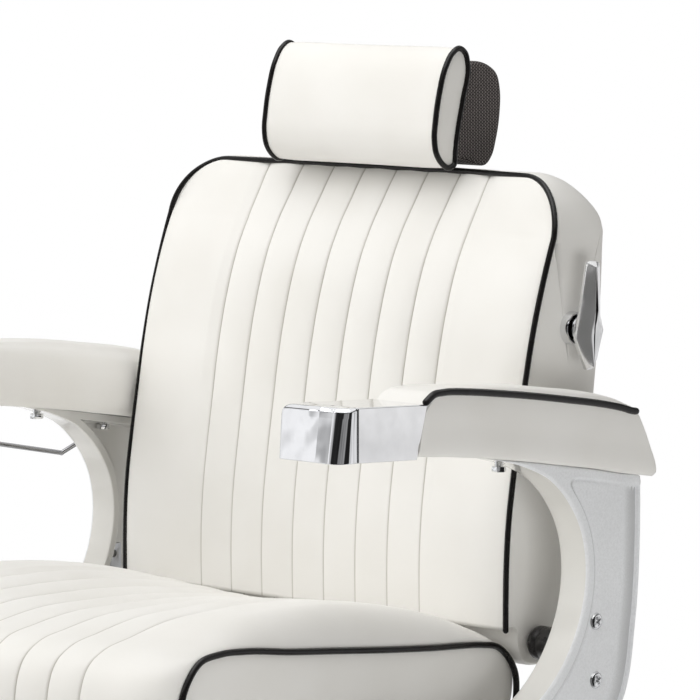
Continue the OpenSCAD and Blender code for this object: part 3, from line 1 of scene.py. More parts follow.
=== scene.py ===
# Threading chair: upholstery, piping, chrome, paint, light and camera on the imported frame
import math
import bpy
import numpy as np
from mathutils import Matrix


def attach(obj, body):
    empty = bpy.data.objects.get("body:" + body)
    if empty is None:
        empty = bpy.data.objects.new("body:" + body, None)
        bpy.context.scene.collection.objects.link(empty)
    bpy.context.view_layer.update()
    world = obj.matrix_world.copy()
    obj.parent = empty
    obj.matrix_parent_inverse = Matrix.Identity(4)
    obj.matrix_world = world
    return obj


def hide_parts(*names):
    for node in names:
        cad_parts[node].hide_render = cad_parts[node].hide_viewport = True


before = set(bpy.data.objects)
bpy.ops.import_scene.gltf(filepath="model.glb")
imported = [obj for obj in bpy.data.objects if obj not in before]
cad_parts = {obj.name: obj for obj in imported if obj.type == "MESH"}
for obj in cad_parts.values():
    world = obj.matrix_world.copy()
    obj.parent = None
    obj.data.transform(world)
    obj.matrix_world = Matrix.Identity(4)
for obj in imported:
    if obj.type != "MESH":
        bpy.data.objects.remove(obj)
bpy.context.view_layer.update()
scene = bpy.context.scene
mm = 0.001
print("frame is in")

# Camera where the photograph was taken from
view = {"place": (3.5086, -3.2966, 1.2257), "azimuth": 44.44, "down": 5.54, "lens": 257.55}
lens = bpy.data.cameras.new("camera")
lens.lens = view["lens"]
lens.sensor_width = 36
lens.clip_end = 60
camera = bpy.data.objects.new("camera", lens)
camera.location = view["place"]
camera.rotation_euler = (math.radians(90 - view["down"]), 0, math.radians(view["azimuth"]))
scene.collection.objects.link(camera)
scene.camera = camera


# Meshes and curves

# Corner lists of any length over an array of points in millimetres, put straight into a mesh
def addMesh(name, points, faceSets):
    mesh = bpy.data.meshes.new(name)
    faceSets = [np.asarray(f, dtype=np.int32) for f in faceSets if len(f)]
    loops = np.concatenate([f.ravel() for f in faceSets])
    sizes = np.concatenate([np.full(len(f), f.shape[1]) for f in faceSets])
    starts = np.concatenate([[0], np.cumsum(sizes)[:-1]])
    points = np.asarray(points, dtype=np.float32) * mm
    mesh.vertices.add(len(points))
    mesh.vertices.foreach_set("co", points.ravel())
    mesh.loops.add(len(loops))
    mesh.loops.foreach_set("vertex_index", loops)
    mesh.polygons.add(len(sizes))
    mesh.polygons.foreach_set("loop_start", starts.astype(np.int32))
    mesh.update(calc_edges=True)
    mesh.validate()
    mesh.polygons.foreach_set("use_smooth", np.ones(len(mesh.polygons), dtype=bool))
    obj = bpy.data.objects.new(name, mesh)
    scene.collection.objects.link(obj)
    return obj


# Quads between neighbours on a grid of m rings with n points each
def gridQuads(m, n, wrapRings=False, wrapPoints=True):
    rings = np.arange(m if wrapRings else m - 1)
    across = np.arange(n if wrapPoints else n - 1)
    a = (rings[:, None] * n + across[None, :]).ravel()
    b = (rings[:, None] * n + ((across + 1) % n)[None, :]).ravel()
    c = (((rings + 1) % m)[:, None] * n + across[None, :]).ravel()
    d = (((rings + 1) % m)[:, None] * n + ((across + 1) % n)[None, :]).ravel()
    return np.stack([a, b, d, c], axis=1)


# Six times the volume inside the quads and triangles: the sum of a . (b x c) over their triangles
def signedVolume(points, faceSets):
    total = 0
    for faces in faceSets:
        for k in range(1, faces.shape[1] - 1):
            a, b, c = points[faces[:, 0]], points[faces[:, k]], points[faces[:, k + 1]]
            total += np.einsum("ij,ij->i", a, np.cross(b, c)).sum()
    return total


# Closed skin over rings of points: each end is drawn to one point, or the last ring meets the first
def skin(name, rings, ends=None):
    m, n = rings.shape[:2]
    points = rings.reshape(-1, 3)
    sets = [gridQuads(m, n, wrapRings=ends is None)]
    if ends is not None:
        points = np.concatenate([points, np.asarray(ends, dtype=float)])
        i = np.arange(n)
        j = (i + 1) % n
        first = np.stack([np.full(n, m * n), j, i], axis=1)
        last = np.stack([np.full(n, m * n + 1), (m - 1) * n + i, (m - 1) * n + j], axis=1)
        sets.append(np.concatenate([first, last]))
    if signedVolume(points, sets) < 0:
        sets = [f[:, ::-1] for f in sets]
    return addMesh(name, points, sets)


# Length along a path up to each of its points
def wayAlong(path):
    return np.concatenate([[0], np.cumsum(np.linalg.norm(np.diff(path, axis=0), axis=1))])


# Points on a path at the given lengths along it
def pointsAt(path, at):
    way = wayAlong(path)
    return np.stack([np.interp(at, way, path[:, k]) for k in range(path.shape[1])], axis=1)


def evenPoints(path, count):
    return pointsAt(path, np.linspace(0, wayAlong(path)[-1], count))


# Weights that carry control values to a smooth curve: cubic pieces whose slopes are the
# mean of the two neighbouring slopes, each weighted by the length of the other piece
def curveWeights(points, count, closed=False):
    points = np.asarray(points, dtype=float)
    n = len(points)
    if closed:
        order = np.arange(-2, n + 3) % n
        ringed = np.concatenate([points, points[:1]])
        steps = np.linalg.norm(np.diff(ringed, axis=0), axis=1)
        whole = steps.sum()
        base = np.concatenate([[0], np.cumsum(steps)])[:n]
        knots = base[order] + np.concatenate([[-whole, -whole], np.zeros(n), [whole] * 3])
        at = np.linspace(0, whole, count, endpoint=False)
    else:
        order = np.arange(n)
        knots = wayAlong(points)
        at = np.linspace(0, knots[-1], count)
    values = np.eye(n)[order]
    gap = np.diff(knots)
    rise = np.diff(values, axis=0) / gap[:, None]
    slope = np.empty_like(values)
    slope[1:-1] = (gap[1:, None] * rise[:-1] + gap[:-1, None] * rise[1:]) / (gap[1:] + gap[:-1])[:, None]
    slope[0] = 1.5 * rise[0] - 0.5 * slope[1]
    slope[-1] = 1.5 * rise[-1] - 0.5 * slope[-2]
    i = np.clip(np.searchsorted(knots, at, side="right") - 1, 0, len(gap) - 1)
    h = gap[i]
    t = ((at - knots[i]) / h)[:, None]
    h = h[:, None]
    return ((2 * t**3 - 3 * t**2 + 1) * values[i] + (t**3 - 2 * t**2 + t) * h * slope[i]
            + (3 * t**2 - 2 * t**3) * values[i + 1] + (t**3 - t**2) * h * slope[i + 1])


def smoothPath(points, count, closed=False):
    return curveWeights(points, count, closed=closed) @ np.asarray(points, dtype=float)


# Round tube: circles square to the path, kept level with the direction "side"
def tubeRings(path, radius, sides, side, closed=False):
    if closed:
        along = np.roll(path, -1, axis=0) - np.roll(path, 1, axis=0)
    else:
        along = np.gradient(path, axis=0)
    along /= np.linalg.norm(along, axis=1)[:, None]
    across = np.cross(along, side)
    across /= np.linalg.norm(across, axis=1)[:, None]
    up = np.cross(across, along)
    angle = np.linspace(0, 2 * np.pi, sides, endpoint=False)
    radius = np.broadcast_to(np.asarray(radius, dtype=float), (len(path),))
    return path[:, None] + radius[:, None, None] * (
        np.cos(angle)[None, :, None] * across[:, None] + np.sin(angle)[None, :, None] * up[:, None])


def tube(name, path, radius, side=(1, 0, 0), sides=16, closed=False):
    rings = tubeRings(path, radius, sides, np.asarray(side, dtype=float), closed)
    if closed:
        return skin(name, rings)
    # round ends: the last circles shrink as the cosine while they move out as the sine
    caps = np.radians([30, 60, 80])
    out = (path[0] - path[1]) / np.linalg.norm(path[0] - path[1])
    back = (path[-1] - path[-2]) / np.linalg.norm(path[-1] - path[-2])
    first = [path[0] + math.cos(a) * (rings[0] - path[0]) + radius * math.sin(a) * out for a in caps[::-1]]
    last = [path[-1] + math.cos(a) * (rings[-1] - path[-1]) + radius * math.sin(a) * back for a in caps]
    rings = np.concatenate([np.array(first), rings, np.array(last)])
    return skin(name, rings, [path[0] + radius * out, path[-1] + radius * back])


# Turned shape: a profile of (distance along the axis, radius) carried round a line along X
def turnedX(name, profile, y, z, count, mirror=False):
    profile = np.asarray(profile, dtype=float)
    angle = np.linspace(0, 2 * np.pi, count, endpoint=False)
    x = np.broadcast_to(profile[:, 0, None], (len(profile), count))
    rings = np.stack([-x if mirror else x, y + profile[:, 1, None] * np.cos(angle),
                      z + profile[:, 1, None] * np.sin(angle)], axis=2)
    return skin(name, rings, rings[[0, -1]].mean(axis=1))


# Rises from 0 at low to 1 at high as 3t^2 - 2t^3
def smoothStep(value, low, high):
    t = np.clip((value - low) / (high - low), 0, 1)
    return t * t * (3 - 2 * t)


# Quarter circle: radius at the edge, and 0 from the radius inwards
def rounding(distance, radius):
    return radius - np.sqrt(np.clip(radius**2 - np.clip(radius - distance, 0, radius) ** 2, 0, None))


# One property of all of a mesh's items as an array
def readAll(items, key, size=1, kind=np.float32):
    values = np.empty(len(items) * size, dtype=kind)
    items.foreach_get(key, values)
    return values.reshape(-1, size) if size > 1 else values


# Several skins as one object
def joined(name, objs):
    context = {"active_object": objs[0], "selected_editable_objects": objs, "selected_objects": objs}
    with bpy.context.temp_override(**context):
        bpy.ops.object.join()
    objs[0].name = name
    return objs[0]


def applyModifiers(obj):
    bpy.context.view_layer.update()
    ready = bpy.data.meshes.new_from_object(obj.evaluated_get(bpy.context.evaluated_depsgraph_get()))
    obj.modifiers.clear()
    obj.data = ready


sides = ((1, "left"), (-1, "right"))  # sign of X, and the word in the names of the nodes


# Every finished piece: its body, its finish and the nodes that it stands for
def place(obj, body, finish, nodes=()):
    obj.data.materials.clear()
    obj.data.materials.append(finish)
    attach(obj, body)
    if nodes:
        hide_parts(*nodes)
    return obj


# Materials

# Sockets of a node by name or number: values are set and the outputs of other nodes are linked
def setSockets(tree, node, values):
    for key, value in values.items():
        socket = node.inputs[key]
        if isinstance(value, bpy.types.NodeSocket):
            tree.links.new(value, socket)
        elif socket.type == "RGBA":
            socket.default_value = (*value, 1)
        else:
            socket.default_value = value


# New node with its settings and sockets, of which one output goes on
def addNode(tree, kind, values, out=0, **settings):
    node = tree.nodes.new("ShaderNode" + kind)
    for key, value in settings.items():
        setattr(node, key, value)
    setSockets(tree, node, values)
    return node.outputs[out]


def calc(tree, operation, *values):
    return addNode(tree, "Math", dict(enumerate(values)), operation=operation)


def axisOf(tree, vector, axis):
    return addNode(tree, "SeparateXYZ", {"Vector": vector}, axis)


def noise(tree, where, scale, detail, roughness=0.5):
    return addNode(tree, "TexNoise", {
        "Vector": where, "Scale": scale, "Detail": detail, "Roughness": roughness})


def mapped(tree, value, low, high, toLow, toHigh):
    return addNode(tree, "MapRange", {
        "Value": value, "From Min": low, "From Max": high, "To Min": toLow, "To Max": toHigh})


def mixColour(tree, share, first, second, blend="MIX"):
    return addNode(tree, "Mix", {"Factor": share, 6: first, 7: second}, 2, data_type="RGBA", blend_type=blend)


# Colour that goes from one tone to another as a value rises from low to high
def toned(tree, value, low, high, first, second):
    return mixColour(tree, mapped(tree, value, low, high, 0, 1), first, second)


def addBump(tree, shader, height, strength, distance, under=None):
    values = {"Height": height, "Strength": strength, "Distance": distance}
    if under:
        values["Normal"] = under
    normal = addNode(tree, "Bump", values)
    setSockets(tree, shader, {"Normal": normal})
    return normal


def emptyTree(owner):
    owner.use_nodes = True
    owner.node_tree.nodes.clear()
    return owner.node_tree


def newMaterial(name):
    material = bpy.data.materials.new(name)
    tree = emptyTree(material)
    shader = tree.nodes.new("ShaderNodeBsdfPrincipled")
    setSockets(tree, tree.nodes.new("ShaderNodeOutputMaterial"), {"Surface": shader.outputs["BSDF"]})
    return material, tree, shader, addNode(tree, "TexCoord", {}, "Object")


def scaled(colour, factor):
    return tuple(factor * c for c in colour)


# the seam colour is painted shade for the creases along the stitched seams
leatherLook = {"colour": (0.86, 0.85, 0.825), "shade": (0.82, 0.807, 0.775), "seam": (0.6, 0.58, 0.54),
               "grain": 900, "roughness": (0.41, 0.53)}

# Sewn channels: seams lie half a pitch from the middle. The crown between them falls to the
# seam as a power of a cosine, and the stitched line itself is a narrow bell
channels = {"pitch": 44.0, "count": 7, "depth": 4.2, "power": 0.55, "line": 1.3, "lineWidth": 1.1,
            "shadeWidth": (0.0004, 0.0012)}


# Share of the painted shade along a sewn line: a ramp over the distance of X from the nearest seam,
# inside the channels, where the surface looks towards the given direction
def paintedSeamShade(tree, where, facing):
    pitch = channels["pitch"] * mm
    x = axisOf(tree, where, "X")
    turn = calc(tree, "FRACT", calc(tree, "ADD", calc(tree, "DIVIDE", x, pitch), 50.0))
    away = calc(tree, "MULTIPLY", calc(tree, "ABSOLUTE", calc(tree, "SUBTRACT", turn, 0.5)), pitch)
    line = mapped(tree, away, *channels["shadeWidth"], 1, 0)
    inside = calc(tree, "LESS_THAN", calc(tree, "ABSOLUTE", x), pitch * (channels["count"] / 2 + 0.3))
    normal = addNode(tree, "TexCoord", {}, "Normal")
    dot = addNode(tree, "VectorMath", {0: normal, 1: facing}, "Value", operation="DOT_PRODUCT")
    return calc(tree, "MULTIPLY", calc(tree, "MULTIPLY", line, inside), mapped(tree, dot, 0.2, 0.4, 0, 1))


# White leather: pebble grain from cell distances, finer creases, slow changes of tone and,
# where it is sewn, a painted shade darkening the seams
def leatherMaterial(name, facing=None):
    material, tree, shader, where = newMaterial(name)
    colour = toned(tree, noise(tree, where, 9, 2), 0.35, 0.7, leatherLook["colour"], leatherLook["shade"])
    if facing:
        # painted shade: the colour darkens to the seam colour along each stitched line
        colour = mixColour(tree, paintedSeamShade(tree, where, facing), colour, leatherLook["seam"])
    cells = addNode(tree, "TexVoronoi", {"Vector": where, "Scale": leatherLook["grain"]}, "Distance",
                    feature="DISTANCE_TO_EDGE")
    normal = addBump(tree, shader, mapped(tree, cells, 0, 0.35, 0, 1), 0.16, 0.0002)
    creases = noise(tree, where, 260, 4, 0.6)
    addBump(tree, shader, creases, 0.12, 0.0006, normal)
    setSockets(tree, shader, {"Base Color": colour, "IOR": 1.45,
                              "Roughness": mapped(tree, creases, 0.3, 0.7, *leatherLook["roughness"])})
    return material


# Black piping: smooth coated leather over a cord, with a faint twist showing through
def pipingMaterial():
    material, tree, shader, where = newMaterial("blackPiping")
    creases = noise(tree, where, 420, 3, 0.6)
    addBump(tree, shader, creases, 0.15, 0.0005)
    setSockets(tree, shader, {
        "Base Color": toned(tree, noise(tree, where, 120, 2), 0.3, 0.7,
                            (0.006, 0.0055, 0.0055), (0.011, 0.01, 0.0095)),
        "Roughness": mapped(tree, creases, 0.3, 0.7, 0.12, 0.2), "Specular IOR Level": 0.28})
    return material


# Chrome: bright metal with hairline haze and, on the flat part of a cap, slow waves of polishing
def chromeMaterial(name, colour, rough, wave=0.0, flat=(), metallic=1.0):
    material, tree, shader, where = newMaterial(name)
    haze = noise(tree, where, 55, 3)
    setSockets(tree, shader, {
        "Base Color": toned(tree, haze, 0.3, 0.7, colour, scaled(colour, 0.94)),
        "Metallic": metallic, "Roughness": mapped(tree, haze, 0.3, 0.75, *rough)})
    if wave:
        # the waves fade out where the distance from the middle plane passes the flat part
        away = calc(tree, "ABSOLUTE", axisOf(tree, where, "X"))
        height = calc(tree, "MULTIPLY", noise(tree, where, 24, 1), mapped(tree, away, *flat, 1, 0))
        addBump(tree, shader, height, 1.0, wave)
    return material


# Gloss paint: smooth coat over a faintly uneven casting, with painted shade where asked
def paintMaterial(name, colour, roughness, coat, grain, depth, speck=0.0, turned=()):
    material, tree, shader, where = newMaterial(name)
    base = toned(tree, noise(tree, where, 14, 3), 0.35, 0.7, colour, scaled(colour, 0.955))
    fine = noise(tree, where, grain, 5, 0.65)
    if speck:
        base = mixColour(tree, 1, base, mapped(tree, fine, 0.3, 0.75, 1 - speck, 1), "MULTIPLY")
    if turned:
        # painted shade: the colour darkens towards grey where the casting's face turns towards the rear, for
        # the shade on its curled rear band
        low, high, most = turned
        rearward = axisOf(tree, addNode(tree, "TexCoord", {}, "Normal"), "Y")
        base = mixColour(tree, mapped(tree, rearward, low, high, 0, most), base, (0.3, 0.3, 0.295))
    addBump(tree, shader, fine, 0.6, depth)
    setSockets(tree, shader, {
        "Base Color": base, "Coat Weight": coat, "Coat Roughness": 0.08,
        "Roughness": mapped(tree, fine, 0.3, 0.7, roughness - 0.04, roughness + 0.06)})
    return material


# Brushed steel: fine lines along one axis from noise stretched a hundredfold
def steelMaterial():
    material, tree, shader, where = newMaterial("brushedSteel")
    stretched = addNode(tree, "Mapping", {"Vector": where, "Scale": (2, 260, 260)})
    lines = noise(tree, stretched, 9, 4, 0.6)
    colour = (0.55, 0.555, 0.565)
    setSockets(tree, shader, {
        "Base Color": toned(tree, lines, 0.3, 0.7, colour, scaled(colour, 0.85)), "Metallic": 1,
        "Roughness": mapped(tree, lines, 0.3, 0.7, 0.26, 0.42)})
    addBump(tree, shader, lines, 0.2, 0.0002)
    return material


# Plywood: plies 1.6 mm thick as bands of height, with grain stretched along X
def plywoodMaterial():
    material, tree, shader, where = newMaterial("plywood")
    grain = noise(tree, addNode(tree, "Mapping", {"Vector": where, "Scale": (6, 90, 90)}), 3, 5, 0.6)
    bands = addNode(tree, "TexWave", {"Vector": where, "Scale": 100, "Distortion": 0.6}, "Fac",
                    bands_direction="Z")
    ply = mixColour(tree, bands, (0.5, 0.36, 0.2), (0.62, 0.47, 0.29))
    colour = mixColour(tree, mapped(tree, grain, 0.3, 0.7, 0, 0.6), ply, (0.42, 0.29, 0.15))
    setSockets(tree, shader, {"Base Color": colour, "Roughness": 0.6})
    addBump(tree, shader, grain, 0.3, 0.0004)
    return material


# Rubber and hard plastic: fine even texture under a little dust
def mouldedMaterial(name, colour, roughness, grain, depth):
    material, tree, shader, where = newMaterial(name)
    fine = noise(tree, where, grain, 3, 0.55)
    dusty = tuple(min(1, 1.35 * c + 0.008) for c in colour)
    setSockets(tree, shader, {
        "Base Color": toned(tree, noise(tree, where, 30, 3), 0.4, 0.75, colour, dusty),
        "Roughness": mapped(tree, fine, 0.3, 0.7, roughness - 0.05, roughness + 0.08)})
    addBump(tree, shader, fine, 0.5, depth)
    return material


# Woven cover: rows of short upright light threads on dark ones, every second column moved by
# half a thread. Column and row numbers come from the piece's own UV in thread counts
def wovenMaterial():
    material, tree, shader, where = newMaterial("wovenCover")
    weave = addNode(tree, "UVMap", {}, uv_map="weave")
    across, up = axisOf(tree, weave, "X"), axisOf(tree, weave, "Y")

    def fromMiddle(value):
        return calc(tree, "ABSOLUTE", calc(tree, "SUBTRACT", calc(tree, "FRACT", value), 0.5))

    half = calc(tree, "MULTIPLY", calc(tree, "MODULO", calc(tree, "FLOOR", across), 2), 0.5)
    thread = calc(tree, "MULTIPLY", mapped(tree, fromMiddle(across), 0.12, 0.3, 1, 0),
                  mapped(tree, fromMiddle(calc(tree, "ADD", up, half)), 0.26, 0.4, 1, 0))
    rough = noise(tree, where, 300, 2)
    light = mixColour(tree, rough, (0.2, 0.18, 0.17), (0.42, 0.38, 0.37))
    dark = mixColour(tree, rough, (0.008, 0.005, 0.005), (0.02, 0.012, 0.011))
    setSockets(tree, shader, {"Base Color": mixColour(tree, thread, dark, light), "Roughness": 0.75})
    addBump(tree, shader, thread, 0.6, 0.0006)
    return material


leather = leatherMaterial("whiteLeather")
# seat and back leather carry painted shade along their seams
seatLeather = leatherMaterial("seatLeather", facing=(0.0, -0.7, 0.7))
backLeather = leatherMaterial("backLeather", facing=(0.0, -1.0, 0.0))
piping = pipingMaterial()
chrome = chromeMaterial("chrome", (0.83, 0.835, 0.845), (0.035, 0.09))
darkChrome = chromeMaterial("darkChrome", (0.42, 0.42, 0.43), (0.08, 0.16))
capChrome = chromeMaterial("capChrome", (0.84, 0.845, 0.86), (0.03, 0.06), wave=0.0036, flat=(0.322, 0.338))
screwChrome = chromeMaterial("screwChrome", (0.78, 0.785, 0.79), (0.1, 0.2))
noseChrome = chromeMaterial("noseChrome", (0.82, 0.82, 0.825), (0.06, 0.12))
leverChrome = chromeMaterial("leverChrome", (0.88, 0.88, 0.885), (0.2, 0.26), metallic=0.78)
creamPaint = paintMaterial("creamPaint", (0.83, 0.82, 0.785), 0.2, 0.6, 60, 0.0004)
# the castings' paint carries painted shade on faces turned towards the rear
castPaint = paintMaterial("castPaint", (0.92, 0.935, 0.96), 0.42, 0.1, 420, 0.0012, speck=0.12,
                          turned=(0.04, 0.36, 0.5))
steel = steelMaterial()
plywood = plywoodMaterial()
rubber = mouldedMaterial("rubber", (0.022, 0.022, 0.023), 0.6, 500, 0.0006)
blackPlastic = mouldedMaterial("blackPlastic", (0.016, 0.015, 0.015), 0.28, 160, 0.0002)
woven = wovenMaterial()
print("materials are made")


# Upholstery

def seamPlaces():
    return (np.arange(channels["count"] + 1) - channels["count"] / 2) * channels["pitch"]


def channelRelief(x):
    edge = channels["pitch"] * channels["count"] / 2
    wave = np.abs(np.cos(np.pi * x / channels["pitch"])) ** channels["power"] - 1
    wave = np.where(np.abs(x) > edge + channels["pitch"] / 4, 0, wave)
    away = np.abs(x[:, None] - seamPlaces()[None, :]).min(axis=1)
    return channels["depth"] * wave - channels["line"] * np.exp(-(away / channels["lineWidth"]) ** 2)


# Roll towards the side piping: 1 inside, then a quarter circle down to 0 at the piping
def roll(x, half, width):
    return np.sqrt(np.clip(1 - np.clip((np.abs(x) - half + width) / width, 0, 1) ** 2, 0, 1))


# Places across a cushion: close together at each seam and towards the piping
def stationsAcross(half, width, fine=True):
    near = np.array([0, 0.5, 1.1, 2, 3.4, 5.5, 8.5, 13, 22]) if fine else np.array([0, 3, 8, 14, 22])
    seams = seamPlaces()
    start = seams[-1] + 14
    around = np.concatenate([seams[:, None] + near, seams[:, None] - near], axis=1).ravel()
    around = around[np.abs(around) <= start]
    count = (9 if fine else 4) if half - width > start + 3 else 1
    flat = np.linspace(start, half - width, count)
    turn = half - width + width * np.sin(np.linspace(0, np.pi / 2, 26 if fine else 8))
    side = np.concatenate([flat, turn])
    return np.unique(np.round(np.concatenate([around, side, -side]), 3))


# Copies of a ring, drawn in towards one middle point, to the given shares of their size
def drawnIn(ring, middle, steps):
    return middle + np.asarray(steps)[:, None, None] * (ring - middle)


# Side panel: the last ring drawn in step by step towards one middle point, bulging as 1 - r^4
def panelRings(ring, middle, bulge, sign, steps):
    rings = drawnIn(ring, middle, steps)
    rings[..., 0] = ring[:, 0] + sign * bulge * (1 - np.asarray(steps)[:, None] ** 4)
    pole = np.array([ring[:, 0].mean() + sign * bulge, middle[1], middle[2]])
    return rings, pole


panelSteps = {True: (0.992, 0.975, 0.945, 0.9, 0.84, 0.76, 0.66, 0.54, 0.42, 0.3, 0.18, 0.08),
              False: (0.95, 0.85, 0.7, 0.5, 0.3, 0.15)}


# Cushion skin: rings across the width with a side panel at each end. Returns the rings, both
# poles and the place of each ring along the way from pole to pole
def cushionRings(settings, ringAt, stations, fine):
    across = stations(fine)
    rings = np.stack([ringAt(x, fine) for x in across])
    half, bulge, steps = settings["half"], settings["sideBulge"], panelSteps[fine]
    left, poleA = panelRings(rings[0], np.array([-half, *settings["middle"]]), bulge, -1, steps[::-1])
    right, poleB = panelRings(rings[-1], np.array([half, *settings["middle"]]), bulge, 1, steps)
    beyond = half + (1 - np.array(steps)) * half
    places = np.concatenate([-beyond[::-1], across, beyond])
    return np.concatenate([left, rings, right]), np.stack([poleA, poleB]), places


# What a filling run holds: the side edges or whole side panels, and on a sewn cushion the seams
# and the outline from a given point on
def heldPoints(rings, places, half, sewnFrom, panels):
    held = np.zeros(rings.shape[:2], dtype=bool)
    away = np.abs(places) - half
    held[(away > -0.1) if panels else (np.abs(away) < 0.1)] = True
    if sewnFrom:
        held[np.abs(places[:, None] - seamPlaces()[None, :]).min(axis=1) < 0.1] = True
        held[:, sewnFrom:] = True
        held[:, 0] = True
    return held


filling = {"frames": 20, "pressure": 4.0, "stiffness": 15.0, "quality": 5}


# Filling run: the coarse skin is cloth under pressure, with its sewn lines held. Returns how
# far each point moved, limited smoothly to the cap
def fillRun(rings, poles, held, cap):
    obj = skin("fillRun", rings, poles)
    group = obj.vertex_groups.new(name="held")
    group.add([int(i) for i in np.flatnonzero(held.ravel())], 1.0, "REPLACE")
    cloth = obj.modifiers.new("cloth", "CLOTH")
    cloth.settings.use_pressure = True
    cloth.settings.uniform_pressure_force = filling["pressure"]
    cloth.settings.vertex_group_mass = "held"
    cloth.settings.quality = filling["quality"]
    cloth.settings.tension_stiffness = filling["stiffness"]
    cloth.settings.compression_stiffness = filling["stiffness"]
    cloth.settings.effector_weights.gravity = 0
    cloth.collision_settings.use_collision = False
    cloth.point_cache.frame_start = 1
    cloth.point_cache.frame_end = filling["frames"]
    for step in range(1, filling["frames"] + 1):
        scene.frame_set(step)
    ready = obj.evaluated_get(bpy.context.evaluated_depsgraph_get()).to_mesh()
    moved = readAll(ready.vertices, "co", 3) - readAll(obj.data.vertices, "co", 3)
    bpy.data.objects.remove(obj, do_unlink=True)
    scene.frame_set(1)
    moved = moved[:rings.shape[0] * rings.shape[1]] / mm
    size = np.linalg.norm(moved, axis=1)[:, None] + 1e-9
    moved = moved * (cap * np.tanh(size / cap) / size)
    return moved.reshape(rings.shape)


# Carries the coarse moves to the fine skin: straight-line shares between coarse neighbours,
# along the rings and then across them
def spreadMoves(moves, coarsePlaces, finePlaces, fineCount):
    coarseCount = moves.shape[1]
    share = np.stack([np.interp(finePlaces, coarsePlaces, row) for row in np.eye(len(coarsePlaces))], axis=1)
    ringed = np.concatenate([moves, moves[:, :1]], axis=1)
    at = np.linspace(0, 1, coarseCount + 1)
    want = np.linspace(0, 1, fineCount, endpoint=False)
    across = np.stack([np.interp(want, at, row) for row in np.eye(coarseCount + 1)], axis=1)
    return np.einsum("fc,cnk,gn->fgk", share, ringed, across)


# A cushion from start to end: fine skin, filling run on the coarse one, moves spread and softened
def makeCushion(name, settings, ringAt, stations, sewnFrom=None, panels=False):
    fineRings, finePoles, finePlaces = cushionRings(settings, ringAt, stations, True)
    coarse, poles, places = cushionRings(settings, ringAt, stations, False)
    held = heldPoints(coarse, places, settings["half"], sewnFrom, panels)
    moves = fillRun(coarse, poles, held, settings["cap"])
    moves[1:-1] = 0.25 * moves[:-2] + 0.5 * moves[1:-1] + 0.25 * moves[2:]
    moves = 0.25 * np.roll(moves, 1, 1) + 0.5 * moves + 0.25 * np.roll(moves, -1, 1)
    fineRings = fineRings + spreadMoves(moves, places, finePlaces, fineRings.shape[1])
    print(name, "skin", fineRings.shape)
    return skin(name, fineRings, finePoles)


# Seat cushion

seat = {
    "half": 258, "middle": (25, 440), "depth": 487, "thick": 130, "front": -235, "base": 405,
    "bulge": 37, "roll": 45,
    "dish": 11, "dishHalf": 198, "footDraw": 0.03, "sideBulge": 3, "cap": 5, "pipe": 3.2,
    # points of the fine and of the coarse outline, and the share of them from the front foot to the rear
    "count": {True: 190, False: 90}, "topShare": 0.82,
    # outline from the front foot over the top to the rear: shares of depth and height, and of the bulge
    "shares": [(0.092, 0, -0.6, 0), (0.066, 0.24, -0.8, 0), (0.068, 0.44, -0.84, 0.1),
               (0.084, 0.61, -0.8, 0.2), (0.119, 0.754, -0.65, 0.1), (0.172, 0.792, -0.45, 0.2),
               (0.238, 0.785, -0.25, 0.5), (0.359, 0.731, -0.1, 0.85), (0.466, 0.692, 0, 1),
               (0.659, 0.623, 0, 1), (0.764, 0.592, 0, 0.87), (0.834, 0.577, 0, 0.68),
               (0.893, 0.558, 0, 0.45), (0.938, 0.523, 0.05, 0.25), (0.967, 0.438, 0.05, 0.05),
               (0.988, 0.315, 0, 0), (0.992, 0.154, 0, 0), (0.984, 0, 0, 0)],
}


def seatTop(fine):
    return int(seat["count"][fine] * seat["topShare"])


def seatLoop(fine):
    shares = np.array(seat["shares"])
    base = shares[:, :2] * [seat["depth"], seat["thick"]] + [seat["front"], seat["base"]]
    weights = curveWeights(base, seatTop(fine))
    top = weights @ np.concatenate([base, shares], axis=1)
    under = seat["count"][fine] - len(top)
    back = np.linspace(top[-1], top[0], under + 2)[1:-1]
    back[:, 4:] = 0
    return np.concatenate([top, back])


seatLoops = {fine: seatLoop(fine) for fine in (True, False)}


# Ring at x: the outline, plus the bulge rolled off to the sides and cut by the channels,
# less a shallow dish over the middle; the foot of the side is drawn in a little
def seatRing(x, fine):
    loop = seatLoops[fine]
    b = seat["bulge"] * roll(x, seat["half"], seat["roll"]) + channelRelief(np.array([x]))[0]
    dish = seat["dish"] * math.cos(math.pi / 2 * min(1, abs(x) / seat["dishHalf"])) ** 2
    draw = 1 - seat["footDraw"] * (1 - loop[:, 3]) ** 2 * (abs(x) / seat["half"]) ** 2
    return np.stack([x * draw, loop[:, 0] + loop[:, 4] * b, loop[:, 1] + loop[:, 5] * (b - dish)], axis=1)


def seatStations(fine):
    return stationsAcross(seat["half"], seat["roll"], fine)


seatCushion = makeCushion("seatCushion", seat, seatRing, seatStations, sewnFrom=seatTop(False))
place(seatCushion, "chair", seatLeather, ["seat_cushion"])


def seatPipingPath(side):
    loop = seatLoops[True][:seatTop(True)]
    x = side * (seat["half"] + 0.5)
    return np.stack([np.full(len(loop), x), loop[:, 0], loop[:, 1]], axis=1)


seatPipes = joined("seatPiping", [tube("seatPiping", seatPipingPath(side), seat["pipe"]) for side in (1, -1)])
place(seatPipes, "chair", piping, ["seat_piping"])
print("seat is in")


# Backrest: front face with channels, boxing, rear and nose round the pivot in one skin

